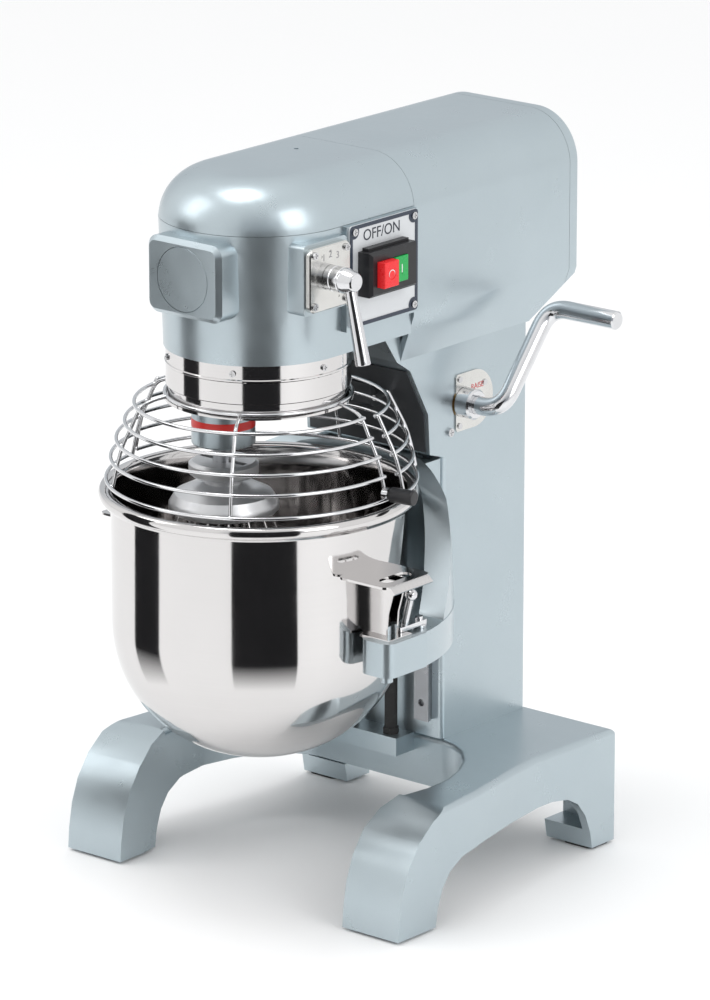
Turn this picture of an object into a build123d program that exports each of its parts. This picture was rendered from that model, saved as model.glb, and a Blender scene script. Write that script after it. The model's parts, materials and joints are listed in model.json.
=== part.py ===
"""Twenty-litre commercial planetary stand mixer, built as an assembly of separate pieces.

Millimetres. +Z is up, -Y is the front, +X is the side with the controls. The origin is on the bench,
at the centre of the four foot bolt holes. The drive head turns about a vertical axis at y = AXIS_Y.
"""
from build123d import *
import math
import os

os.makedirs("parts", exist_ok=True)

# ---- driving dimensions ------------------------------------------------------------------------
AXIS_Y = -156.5          # planetary axis, and centre of the bowl
BASE_TOP = 130.0
PAD = 3.0                # rubber foot pad thickness
BOLT_X, BOLT_Y, BOLT_R = 180.0, 176.0, 5.5
COL_X = 85.0             # half width of the column
COL_FRONT, COL_REAR = 44.0, 189.0
HEAD_X = 103.0           # half width of the head
HEAD_LOW, HEAD_SIDE, SEAM_Z, HEAD_TOP = 566.0, 618.0, 737.0, 788.0
SHOULDER = 55.0          # radius between the head's sides and its flat top
NOSE_FLOOR = 599.0
COVER_END = -27.0        # rear edge of the top cover
REAR_SEAM, REAR_END = 235.0, 259.0
DRIVE_Z = 689.0          # axis of the main shaft, the attachment hub and the motor
COUNTER_Z = 635.0
LEVER_Y, LEVER_Z = -176.0, 691.0
PITCH_OFF = 44.0         # distance from the planetary axis to the agitator axis
AGI_X, AGI_Y = -43.6, -162.6
CRANK_Y, CRANK_Z = 77.0, 500.0
RIM_Z, RIM_R = 445.3, 168.4
BOWL_R, BOWL_STRAIGHT, BOWL_DEPTH, BOWL_POWER, SHEET = 155.8, 302.1, 148.6, 2.09, 1.8
RUN = 0.05               # radial running clearance of a shaft in its bearing
TRAVEL = 106.0           # travel of the bowl carriage


# ---- helpers -----------------------------------------------------------------------------------
def block(x, y, z, mode=Mode.ADD):
    """A box between two X, two Y and two Z limits, in the part being built."""
    with Locations(((x[0] + x[1]) / 2, (y[0] + y[1]) / 2, (z[0] + z[1]) / 2)):
        Box(abs(x[1] - x[0]), abs(y[1] - y[0]), abs(z[1] - z[0]), mode=mode)


def rod(start, direction, radius, length, mode=Mode.ADD):
    """A cylinder that starts at a point and runs along a direction."""
    with Locations(Plane(origin=start, z_dir=direction)):
        Cylinder(radius, length, align=(Align.CENTER, Align.CENTER, Align.MIN), mode=mode)


def upright(x, y):
    """The plane whose first direction is the radius about a vertical axis at x, y."""
    return Plane(origin=(x, y, 0), x_dir=(1, 0, 0), z_dir=(0, -1, 0))


def turned(points, x=0.0, y=AXIS_Y, mode=Mode.ADD):
    """A ring or disc about a vertical axis, from its (radius, height) outline."""
    with BuildSketch(upright(x, y), mode=Mode.PRIVATE) as outline:
        with BuildLine():
            Polyline(*points, close=True)
        make_face()
    revolve(outline.sketch, axis=Axis((x, y, 0), (0, 0, 1)), mode=mode)


def turned_y(points, x=0.0, z=DRIVE_Z, mode=Mode.ADD):
    """A ring or disc about an axis along Y, from its (radius, y) outline."""
    flat = Plane(origin=(x, 0, z), x_dir=(1, 0, 0), z_dir=(0, 0, 1))
    with BuildSketch(flat, mode=Mode.PRIVATE) as outline:
        with BuildLine():
            Polyline(*points, close=True)
        make_face()
    revolve(outline.sketch, axis=Axis((x, 0, z), (0, 1, 0)), mode=mode)


def side_face(points):
    """A face in the side view, from (y, z) points."""
    with BuildSketch(Plane.YZ, mode=Mode.PRIVATE) as drawn:
        with BuildLine():
            Polyline(*points, close=True)
        make_face()
    return drawn.sketch


def plan_face(points, z):
    """A face in plan, from (x, y) points at height z."""
    with BuildSketch(Plane.XY.offset(z), mode=Mode.PRIVATE) as drawn:
        with BuildLine():
            Polyline(*points, close=True)
        make_face()
    return drawn.sketch


def front_face(points, y):
    """A face in the front view, from (x, z) points, that is extruded towards +Y."""
    across = Plane(origin=(0, y, 0), x_dir=(-1, 0, 0), z_dir=(0, 1, 0))
    with BuildSketch(across, mode=Mode.PRIVATE) as drawn:
        with BuildLine():
            Polyline(*[(-a, b) for a, b in points], close=True)
        make_face()
    return drawn.sketch


def mirrored(points):
    """The points of the right half in plan, and the left half's in return order."""
    return points + [(-x, y) for x, y in reversed(points)]


def ring_pieces(rings, axis="z", x=0.0, y=AXIS_Y, z=DRIVE_Z):
    """Separate rings given as (inner radius, outer radius, start, end) along their axis."""
    for inner, outer, low, high in rings:
        outline = [(inner, low), (outer, low), (outer, high), (inner, high)]
        if axis == "z":
            turned(outline, x, y)
        else:
            turned_y(outline, x, z)


def involute(radius, base):
    """The involute function at a radius of a gear with this base circle."""
    angle = math.acos(min(1.0, base / radius))
    return math.tan(angle) - angle


def gear_points(teeth, module, phase, width=0.9, tip=0.8, root=1.1, pressure=25.0):
    """The outline of a spur gear; phase is the angle of a tooth's centre, in degrees."""
    pitch = teeth * module / 2
    base = pitch * math.cos(math.radians(pressure))
    low, high = pitch - root * module, pitch + tip * module
    start = max(low, base)
    half = math.pi / (2 * teeth) * width
    flank = []
    for step in range(5):
        radius = start + (high - start) * step / 4
        flank.append((radius, half + involute(pitch, base) - involute(radius, base)))
    points = []
    for tooth in range(teeth):
        centre = math.radians(phase) + 2 * math.pi * tooth / teeth
        points.append((low, centre - flank[0][1]))
        points += [(radius, centre - angle) for radius, angle in flank if radius > low]
        points += [(radius, centre + angle) for radius, angle in reversed(flank) if radius > low]
        points.append((low, centre + flank[0][1]))
    return [(radius * math.cos(angle), radius * math.sin(angle)) for radius, angle in points]


def gear_sketch(plane, points):
    """A closed face of straight edges on a plane."""
    with BuildSketch(plane, mode=Mode.PRIVATE) as drawn:
        with BuildLine():
            Polyline(*points, close=True)
        make_face()
    return drawn.sketch


def gear_plane(x, z, y):
    """A plane across an axis along +Y, with its first direction along X and its second along -Z."""
    return Plane(origin=(x, y, z), x_dir=(1, 0, 0), z_dir=(0, 1, 0))


def finish(part, name):
    """Name a finished part and write its STEP file."""
    part.label = name
    export_step(part, f"parts/{name}.step")


# ---- base --------------------------------------------------------------------------------------
BASE_PLAN = mirrored([(85, 43.5), (102, 41), (123, 29.5), (142, 9), (158, -20), (169, -55), (170, -88),
                      (164, -130), (157, -170), (156, -212), (232, -212), (232, -150), (224, -66),
                      (210, 12), (203, 62), (204.5, 120), (204.5, 194)])
BASE_SIDE = [(-207, 0), (-205, 25), (-200, 53), (-190, 79), (-173, 103), (-150, 121), (-124, 130),
             (194, 130), (194, 0), (156, 0), (152, 22), (143, 44), (130, 60), (112, 70), (85, 74),
             (0, 73), (-60, 71), (-95, 67), (-118, 57), (-132, 42), (-141, 22), (-145, 0)]
REAR_ARCH = 142          # half the width of the opening between the rear feet
HOLLOW_PLAN = mirrored([(40, 54), (104, 52), (130, 38), (151, 14), (168, -18), (179, -54), (180, -88),
                        (174, -130), (167, -170), (166, -196), (222, -196), (222, -148), (214, -66),
                        (200, 10), (193, 62), (194.5, 120), (194.5, 184), (40, 184)])
HOLLOW_SIDE = [(-196, 24), (-192, 48), (-182, 73), (-166, 95), (-145, 112), (-121, 120), (184, 120),
               (184, 24)]


def make_base():
    """The cast base: two side rails with four legs, hollow from below, and the column's seat."""
    with BuildPart() as hollow:
        extrude(plan_face(HOLLOW_PLAN, 0), amount=BASE_TOP)
        extrude(side_face(HOLLOW_SIDE), amount=300, both=True, mode=Mode.INTERSECT)
    with BuildPart() as base:
        extrude(plan_face(BASE_PLAN, PAD), amount=BASE_TOP - PAD)
        extrude(side_face(BASE_SIDE), amount=300, both=True, mode=Mode.INTERSECT)
        upper = base.edges().filter_by_position(Axis.Z, BASE_TOP - 0.1, BASE_TOP + 0.1)
        fillet(upper.filter_by(Axis.Y, reverse=True), 7)
        add(hollow.part, mode=Mode.SUBTRACT)
        block((-48, 48), (60, 178), (60, BASE_TOP - 12), Mode.SUBTRACT)
        block((-46, 46), (14, 46), (BASE_TOP - 20, BASE_TOP))
        block((-REAR_ARCH, REAR_ARCH), (150, 200), (0, 58), Mode.SUBTRACT)
        for side in (-1, 1):
            for inner, across in ((166, -30), (50, 120)):
                block((side * inner, side * 196), (across, across + 7), (86, 122))
            block((side * 78, side * 86), (50, 188), (84, 122))
            for where in (62, 172):
                rod((side * 66, where, 118), (0, 0, 1), 5.2, 14, Mode.SUBTRACT)
        with Locations(*[(x, y, 0) for x in (-BOLT_X, BOLT_X) for y in (-BOLT_Y, BOLT_Y)]):
            Cylinder(BOLT_R, 80, mode=Mode.SUBTRACT)
    finish(base.part, "base_casting")
    return base.part


def make_pads():
    """Four rubber pads under the feet."""
    with BuildPart() as pads:
        for side in (-1, 1):
            for rear, x, y in ((False, 194, -176), (True, 181, 175)):
                size = (60, 50) if not rear else (40, 34)
                with BuildSketch(Plane.XY):
                    with Locations((side * x, y)):
                        RectangleRounded(*size, 8)
                    with Locations((side * BOLT_X, math.copysign(BOLT_Y, y))):
                        Circle(BOLT_R, mode=Mode.SUBTRACT)
                extrude(amount=PAD)
    finish(pads.part, "foot_pads")


# ---- column ------------------------------------------------------------------------------------
COL_SIDE = [(44, BASE_TOP), (44, 446), (22, 453), (19, 498), (-11, 552), (-33, 566),
            (COL_REAR, 566), (COL_REAR, BASE_TOP)]
COL_HOLLOW = [(54, 142), (54, 438), (50, 454), (32, 462), (29, 500), (0, 553), (-10, 562),
              (-10, 570), (200, 570), (200, 158), (178, 158), (178, 142)]


def make_column():
    """The cast column, open at its back and top, with a neck that leans forward under the head."""
    with BuildPart() as column:
        extrude(side_face(COL_SIDE), amount=COL_X, both=True)
        fillet(column.edges().filter_by(Axis.Z).group_by(Axis.Y)[-1], 8)
        fillet(column.edges().filter_by(Axis.Z).filter_by_position(Axis.Y, 43, 45), 6)
        extrude(side_face(COL_HOLLOW), amount=COL_X - 9, both=True, mode=Mode.SUBTRACT)
        block((-12, 12), (28, 58), (372, 545), Mode.SUBTRACT)
        rod((-COL_X - 2, CRANK_Y, CRANK_Z), (1, 0, 0), 18, 2 * COL_X + 4, Mode.SUBTRACT)
        rod((COL_X - 6, 55, 471), (1, 0, 0), 2, 8, Mode.SUBTRACT)
        for side in (-1, 1):
            for where in (62, 172):
                rod((side * 66, where, 120), (0, 0, 1), 4.2, 34, Mode.SUBTRACT)
    finish(column.part, "column")
    return column.part


def make_column_trim():
    """The sheet panel behind the column, its screws, the bolts in its foot and the lift plate."""
    with BuildPart() as panel:
        with BuildSketch(Plane(origin=(0, COL_REAR, 0), x_dir=(-1, 0, 0), z_dir=(0, 1, 0))):
            with Locations((0, 356)):
                RectangleRounded(2 * COL_X - 18, 400, 6)
            with GridLocations(0, 12, 1, 7):
                with Locations((0, 250)):
                    SlotOverall(70, 5, mode=Mode.SUBTRACT)
            with Locations(*[(a, b) for a in (-69, 69) for b in (163, 356, 549)]):
                Circle(2.2, mode=Mode.SUBTRACT)
        extrude(amount=1.5)
    finish(panel.part, "column_rear_panel")
    with BuildPart() as bolts:
        for x in (-66, 66):
            for y in (62, 172):
                rod((x, y, 108), (0, 0, 1), 4.1, 42)
                with BuildSketch(Plane.XY.offset(110)):
                    with Locations((x, y)):
                        RegularPolygon(8, 6)
                extrude(amount=8)
    finish(bolts.part, "column_bolts")
    with BuildPart() as plate:
        with BuildSketch(Plane(origin=(COL_X, 0, 0), x_dir=(0, 1, 0), z_dir=(1, 0, 0))):
            with BuildLine():
                Polyline((92, 469), (66, 469), (64, 472), (64, 529), (66, 532), (92, 532))
                ThreePointArc((92, 532), (126, 500.5), (92, 469))
            make_face()
            with Locations((CRANK_Y, CRANK_Z)):
                Circle(13.6, mode=Mode.SUBTRACT)
            with Locations((70, 475), (70, 526), (112, 515)):
                Circle(1.6, mode=Mode.SUBTRACT)
        extrude(amount=1.6)
    finish(plate.part, "lift_plate")
    with BuildPart() as bushes:
        for side in (-1, 1):
            with BuildSketch(Plane(origin=(side * 70, CRANK_Y, CRANK_Z), z_dir=(side, 0, 0))):
                Circle(18)
                Circle(10 + RUN, mode=Mode.SUBTRACT)
            extrude(amount=15)
        with BuildSketch(Plane(origin=(COL_X, CRANK_Y, CRANK_Z), z_dir=(1, 0, 0))):
            Circle(13.5)
            Circle(10 + RUN, mode=Mode.SUBTRACT)
        extrude(amount=4)
        with BuildSketch(Plane(origin=(84, LEVER_Y, LEVER_Z), z_dir=(1, 0, 0))):
            Circle(12)
            Circle(8 + RUN, mode=Mode.SUBTRACT)
        extrude(amount=31)
    finish(bushes.part, "shaft_bushes")


WAY = [(59, 44.0), (71, 44.0), (75, 33), (55, 33)]


def make_ways():
    """Two dovetail ways on the front of the column, with the stop at their lower ends."""
    with BuildPart() as ways:
        for side in (-1, 1):
            extrude(plan_face([(side * x, y) for x, y in WAY], 150), amount=288)
            for z in (170, 296, 422):
                rod((side * 65, 33, z), (0, 1, 0), 4, 4, Mode.SUBTRACT)
    finish(ways.part, "slide_ways")
    with BuildPart() as stops:
        for side in (-1, 1):
            with BuildSketch(Plane.XY.offset(BASE_TOP)):
                with Locations((side * 28, 27)):
                    RegularPolygon(9, 6)
            extrude(amount=7)
            rod((side * 28, 27, 137), (0, 0, 1), 7, 56)
    finish(stops.part, "lift_buffers")


# ---- head --------------------------------------------------------------------------------------
def head_face(y, inset=0.0):
    """The head's cross-section behind the nose, at y, drawn a wall thickness inside if asked."""
    wide, radius, top = HEAD_X - inset, SHOULDER - inset, HEAD_TOP - inset
    flat, spring = HEAD_X - SHOULDER, HEAD_TOP - SHOULDER
    knee = radius * math.sqrt(0.5)
    with BuildSketch(Plane(origin=(0, y, 0), x_dir=(-1, 0, 0), z_dir=(0, 1, 0)), mode=Mode.PRIVATE) as drawn:
        with BuildLine():
            Polyline((wide, spring), (wide, HEAD_SIDE), (wide - 18, HEAD_LOW), (18 - wide, HEAD_LOW),
                     (-wide, HEAD_SIDE), (-wide, spring))
            ThreePointArc((-wide, spring), (-flat - knee, spring + knee), (-flat, top))
            Line((-flat, top), (flat, top))
            ThreePointArc((flat, top), (flat + knee, spring + knee), (wide, spring))
        make_face()
    return drawn.sketch


def dome(inset, mode=Mode.ADD):
    """The nose's upper shell volume, turned about the planetary axis, from z = 700 up."""
    wide, radius, top = HEAD_X - inset, SHOULDER - inset, HEAD_TOP - inset
    flat, spring = HEAD_X - SHOULDER, HEAD_TOP - SHOULDER
    knee = radius * math.sqrt(0.5)
    with BuildSketch(upright(0, AXIS_Y), mode=Mode.PRIVATE) as drawn:
        with BuildLine():
            Polyline((0, top), (0, 700), (wide, 700), (wide, spring))
            ThreePointArc((wide, spring), (flat + knee, spring + knee), (flat, top))
            Line((flat, top), (0, top))
        make_face()
    revolve(drawn.sketch, axis=Axis((0, AXIS_Y, 0), (0, 0, 1)), mode=mode)


def nose_case(low, inset, top, mode=Mode.ADD):
    """The tapered lower volume of the nose, round in front and straight behind the axis."""
    narrow, wide = 99.0 - inset, HEAD_X - inset
    turned([(0, low), (narrow, low), (wide, top), (0, top)], mode=mode)
    sides = [(narrow, low), (wide, top), (-wide, top), (-narrow, low)]
    extrude(front_face(sides, AXIS_Y), amount=COVER_END - AXIS_Y, mode=mode)


def make_head():
    """The head's main casting, with bosses for the hub, the speed plate and the switch plate."""
    with BuildPart() as inside:
        nose_case(609, 7.5, SEAM_Z + 5)
        extrude(head_face(COVER_END - 0.5, 7), amount=REAR_SEAM + 2 - COVER_END)
        extrude(side_face([(176, 560), (176, 574), (262, 638), (262, 560)]), amount=120, both=True,
                mode=Mode.SUBTRACT)
    with BuildPart() as head:
        nose_case(NOSE_FLOOR, 0, SEAM_Z - 0.4)
        extrude(head_face(COVER_END), amount=REAR_SEAM - COVER_END)
        extrude(side_face([(-27, HEAD_LOW), (-33, HEAD_LOW), (-56, NOSE_FLOOR), (-27, NOSE_FLOOR)]),
                amount=COL_X, both=True)
        extrude(side_face([(COL_REAR, 560), (COL_REAR, HEAD_LOW), (263, 622), (263, 560)]),
                amount=120, both=True, mode=Mode.SUBTRACT)
        with BuildSketch(Plane(origin=(0, -275, DRIVE_Z), x_dir=(1, 0, 0), z_dir=(0, -1, 0))) as boss:
            RectangleRounded(100, 82, 13)
        extrude(boss.sketch, amount=-45)
        chamfer(head.faces().sort_by(Axis.Y)[0].outer_wire().edges(), 5)
        block((80, 108), (-210, -142), (654, 729))
        fillet(head.edges().filter_by(Axis.X).filter_by_position(Axis.X, 95, 108).filter_by_position(
            Axis.Y, -211, -141), 5)
        block((95, 107), (-141, -26.5), (624, 735.5))
        add(inside.part, mode=Mode.SUBTRACT)
        turned([(26, 606), (37, 606), (37, 633), (26, 633)])
        turned([(0, 590), (26, 590), (26, 640), (0, 640)], mode=Mode.SUBTRACT)
        turned_y([(20, -250), (29, -250), (29, -240), (20, -240)])
        turned_y([(0, -276), (34.4, -276), (34.4, -269), (20, -269), (20, -239), (0, -239)],
                 mode=Mode.SUBTRACT)
        block((76, 96), (-200, -152), (664, 716))
        block((60, 84), (-201, -150), (660, 725), Mode.SUBTRACT)
        rod((70, LEVER_Y, LEVER_Z), (1, 0, 0), 12, 50, Mode.SUBTRACT)
        block((90, 110), (-118, -57), (664, 703), Mode.SUBTRACT)
        rod((RAIL_X, -233, RAIL_Z), (0, 1, 0), 10, 9)
        rod((RAIL_X, -228, RAIL_Z), (0, 1, 0), 6, 9, Mode.SUBTRACT)
        for y, z in SPEED_HOLES:
            rod((99, y, z), (1, 0, 0), 2.0, 12, Mode.SUBTRACT)
        for y, z in SWITCH_HOLES:
            rod((98, y, z), (1, 0, 0), 2.0, 12, Mode.SUBTRACT)
    finish(head.part, "head_housing")


SPEED_HOLES = [(y, z) for y in (-201, -151) for z in (664.5, 718.5)]
SWITCH_HOLES = [(y, z) for y in (-131.5, -35.5) for z in (634, 729)]


def make_covers():
    """The domed top cover, the rear cover with its screws, the inlet gland and the hub plug."""
    with BuildPart() as cover:
        dome(0)
        extrude(head_face(AXIS_Y, 0), amount=COVER_END - 0.4 - AXIS_Y)
        block((-200, 200), (-300, 100), (500, SEAM_Z), Mode.SUBTRACT)
        dome(6, Mode.SUBTRACT)
        extrude(head_face(AXIS_Y, 6), amount=COVER_END + 5 - AXIS_Y, mode=Mode.SUBTRACT)
        block((-200, 200), (COVER_END - 0.4, 100), (500, 800), Mode.SUBTRACT)
        rod((-17, -75, 789), (0, 0, -1), 2.5, 3.2, Mode.SUBTRACT)
    finish(cover.part, "top_cover")
    with BuildPart() as rear:
        extrude(head_face(REAR_SEAM + 0.4), amount=12.6)
        loft([head_face(REAR_SEAM + 13), head_face(REAR_END, 11)])
        extrude(side_face([(COL_REAR, 560), (COL_REAR, HEAD_LOW), (263, 622), (263, 560)]),
                amount=120, both=True, mode=Mode.SUBTRACT)
        extrude(head_face(REAR_SEAM, 7), amount=16, mode=Mode.SUBTRACT)
        for x in (-45, -30, -15, 0, 15, 30, 45):
            block((x - 3, x + 3), (248, 262), (690, 750), Mode.SUBTRACT)
        rod((0, 240, 655), (0, 1, 0), 9, 30, Mode.SUBTRACT)
        for x in (-72, 72):
            for z in (660, 740):
                rod((x, 235, z), (0, 1, 0), 2.2, 30, Mode.SUBTRACT)
    finish(rear.part, "rear_cover")
    with BuildPart() as gland:
        rod((0, 249, 655), (0, 1, 0), 8.9, 11)
        with BuildSketch(Plane(origin=(0, REAR_END, 655), z_dir=(0, 1, 0))):
            RegularPolygon(13, 6)
        extrude(amount=5)
        turned_y([(0, 264), (11.5, 264), (11.5, 270), (8, 276), (0, 276)], 0, 655)
        rod((0, 245, 655), (0, 1, 0), 4.5, 40, Mode.SUBTRACT)
    finish(gland.part, "cable_gland")
    with BuildPart() as plug:
        turned_y([(0, -275), (33.6, -275), (34, -274.5), (34, -269), (0, -269)])
    finish(plug.part, "hub_plug")
    with BuildPart() as walls:
        extrude(front_face([(91.4, 609.4), (95, 735), (-95, 735), (-91.4, 609.4)], -40), amount=9)
        for x, z, radius in ((0, DRIVE_Z, 17), (0, COUNTER_Z, 14)):
            rod((x, -45, z), (0, 1, 0), radius, 20, Mode.SUBTRACT)
        rod((RAIL_X, -45, RAIL_Z), (0, 1, 0), 6, 20, Mode.SUBTRACT)
        for x in (-70, 70):
            rod((x, -45, 650), (0, 1, 0), 12, 20, Mode.SUBTRACT)
        block((-96, 96), (8, 16), (618, 732))
        for x, z, radius in ((0, DRIVE_Z, 17), (0, COUNTER_Z, 14)):
            rod((x, 0, z), (0, 1, 0), radius, 30, Mode.SUBTRACT)
        with Locations(*[(a, 12, b) for a in (-75, 75) for b in (640, 710)]):
            Cylinder(8, 30, rotation=(90, 0, 0), mode=Mode.SUBTRACT)
    finish(walls.part, "bearing_walls")


RAIL_X, RAIL_Z = 56.0, 715.0


def make_controls():
    """The speed plate, switch plate, push-button switch, their screws and the printed marks."""
    with BuildPart() as speed:
        with BuildSketch(Plane(origin=(108, LEVER_Y, 691.5), x_dir=(0, 1, 0), z_dir=(1, 0, 0))):
            RectangleRounded(64, 68, 8)
            with Locations((0, LEVER_Z - 691.5)):
                Circle(12.05, mode=Mode.SUBTRACT)
            for y, z in SPEED_HOLES:
                with Locations((y - LEVER_Y, z - 691.5)):
                    Circle(2.0, mode=Mode.SUBTRACT)
        extrude(amount=7)
        chamfer(speed.faces().sort_by(Axis.X)[-1].outer_wire().edges(), 1.2)
        for y, z in ((-190, 715), (-176, 719), (-163, 669)):
            rod((115.5, y, z), (-1, 0, 0), 1.4, 1.0, Mode.SUBTRACT)
    finish(speed.part, "speed_plate")
    with BuildPart() as plate:
        with BuildSketch(Plane(origin=(107, -83.5, 681.5), x_dir=(0, 1, 0), z_dir=(1, 0, 0))):
            RectangleRounded(109, 108, 4)
            for y, z in SWITCH_HOLES:
                with Locations((y + 83.5, z - 681.5)):
                    Circle(2.0, mode=Mode.SUBTRACT)
            with Locations((-4, 2)):
                Rectangle(61, 39, mode=Mode.SUBTRACT)
        extrude(amount=2)
    finish(plate.part, "switch_plate")
    with BuildPart() as frame:
        with BuildSketch(Plane(origin=(109, -83.5, 681.5), x_dir=(0, 1, 0), z_dir=(1, 0, 0))):
            RectangleRounded(109, 108, 4)
            RectangleRounded(101, 100, 2, mode=Mode.SUBTRACT)
            for y, z in SWITCH_HOLES:
                with Locations((y + 83.5, z - 681.5)):
                    Circle(7.5)
                    Circle(4.2, mode=Mode.SUBTRACT)
            RectangleRounded(109, 108, 4, mode=Mode.INTERSECT)
        extrude(amount=0.6)
    finish(frame.part, "switch_border")
    with BuildPart() as body:
        block((109, 127), (-125, -49.5), (660, 707))
        chamfer(body.faces().sort_by(Axis.X)[-1].outer_wire().edges(), 3)
        block((88, 109), (-117.9, -57.1), (664.1, 702.9))
        block((109, 117), (-118, -53), (706, 710))
        for low, high in ((-115.5, -91.5), (-89, -67.5)):
            block((112, 130), (low, high), (669.5, 697.5), Mode.SUBTRACT)
    finish(body.part, "switch_body")
    for name, low, high, face in (("red_button", -115, -92, 137), ("green_button", -88.5, -68, 129.5)):
        with BuildPart() as button:
            block((116, face), (low, high), (670, 697))
            fillet(button.faces().sort_by(Axis.X)[-1].outer_wire().edges(), 1.2)
            with BuildSketch(Plane(origin=(face, (low + high) / 2, 683.5), x_dir=(0, 1, 0),
                                   z_dir=(1, 0, 0))):
                if name == "red_button":
                    Circle(5.5)
                    Circle(4.3, mode=Mode.SUBTRACT)
                else:
                    Rectangle(1.4, 11)
            extrude(amount=-0.5, mode=Mode.SUBTRACT)
        finish(button.part, name)
    with BuildPart() as hub:
        with BuildSketch(Plane(origin=(0, LEVER_Y, LEVER_Z), x_dir=(1, 0, 0), z_dir=(0, 1, 0))):
            with BuildLine():
                Polyline((76, 0), (76, 8), (115.4, 8), (115.4, 13.5), (122, 13.5), (122.6, 12.6),
                         (124, 12.6), (124.6, 13.5), (132, 13.5), (132.6, 12.6), (134, 12.6),
                         (134.6, 13.5), (136, 13.5), (149, 9.75), (150, 8.8), (150, 0), close=True)
            make_face()
        revolve(axis=Axis((0, LEVER_Y, LEVER_Z), (1, 0, 0)))
        block((76, 82), (LEVER_Y - 6, LEVER_Y + 6), (LEVER_Z, 717))
        rod((66.5, LEVER_Y, 711), (1, 0, 0), 3.8, 12)
        rod((139, LEVER_Y, 691), (20, 0, -88), 4, 10, Mode.SUBTRACT)
    finish(hub.part, "lever_hub")
    with BuildPart() as lever:
        with Locations(Plane(origin=(139.9, LEVER_Y, 687), z_dir=(20, 0, -86))):
            Cone(6, 8, 84, align=(Align.CENTER, Align.CENTER, Align.MIN))
            Cylinder(4, 8, align=(Align.CENTER, Align.CENTER, Align.MAX))
        fillet(lever.edges().filter_by(GeomType.CIRCLE).sort_by(Axis.Z)[0], 1.5)
        add(hub.part, mode=Mode.SUBTRACT)
    finish(lever.part.solids().sort_by(SortBy.VOLUME)[-1], "speed_lever")


# ---- transmission ------------------------------------------------------------------------------
def make_shift():
    """The fixed rail, the shift fork that slides on it, and the clutch collar it moves."""
    with BuildPart() as rail:
        rod((RAIL_X, -228, RAIL_Z), (0, 1, 0), 6, 197)
    finish(rail.part, "shift_rail")
    with BuildPart() as fork:
        rod((RAIL_X, -184, RAIL_Z), (0, 1, 0), 10, 122)
        block((60, 75), (-184, -168), (701, 722))
        block((66, 76), (-180.3, -171.7), (695, 730), Mode.SUBTRACT)
        with BuildSketch(Plane(origin=(0, -68.7, DRIVE_Z), x_dir=(1, 0, 0), z_dir=(0, 1, 0))):
            Circle(30)
            with Locations((-20, 0)):
                Rectangle(40, 80, mode=Mode.SUBTRACT)
            with Locations((40, -26)):
                Rectangle(40, 14, rotation=0)
            Circle(18.6, mode=Mode.SUBTRACT)
        extrude(amount=5.4)
        rod((RAIL_X, -200, RAIL_Z), (0, 1, 0), 6 + RUN, 170, Mode.SUBTRACT)
    finish(fork.part, "shift_fork")
    with BuildPart() as collar:
        turned_y([(9 + RUN, -75), (24, -75), (24, -69), (18, -69), (18, -63), (24, -63), (24, -57),
                  (9 + RUN, -57)])
        for n in range(6):
            angle = math.radians(60 * n)
            rod((20.5 * math.cos(angle), -57.2, DRIVE_Z + 20.5 * math.sin(angle)), (0, 1, 0), 2.2, 4)
    finish(collar.part, "clutch_collar")


def bevel(apex, axis, across, teeth, module, cone, start, scale, name, body, bore):
    """A straight bevel gear; its apex, axis (away from the apex) and first tooth direction."""
    pitch = teeth * module / 2
    depth = pitch / math.tan(math.radians(cone))
    down, out = Vector(*axis), Vector(*across)
    side = down.cross(out)
    tilt = math.radians(cone)
    with BuildPart() as gear:
        for n in range(teeth):
            angle = math.radians(start) + 2 * math.pi * n / teeth
            radial = out * math.cos(angle) + side * math.sin(angle)
            tangent = side * math.cos(angle) - out * math.sin(angle)
            along = (radial * math.sin(tilt) + down * math.cos(tilt)).normalized()
            sections = []
            for size in (1.0, scale):
                centre = Vector(*apex) + (radial * pitch + down * depth) * size
                with BuildSketch(Plane(origin=centre, x_dir=tangent, z_dir=along), mode=Mode.PRIVATE) as cut:
                    up = 1 if (cut.workplanes[0].y_dir.dot(radial) > 0) else -1
                    with BuildLine():
                        Polyline((-3.3 * size, -3.6 * size * up), (3.3 * size, -3.6 * size * up),
                                 (1.85 * size, 0), (1.1 * size, 2.0 * size * up),
                                 (-1.1 * size, 2.0 * size * up), (-1.85 * size, 0), close=True)
                    make_face()
                sections.append(cut.sketch)
            loft(sections)
        body()
        rod(Vector(*apex), axis, bore, 100, Mode.SUBTRACT)
    finish(gear.part, name)


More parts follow.
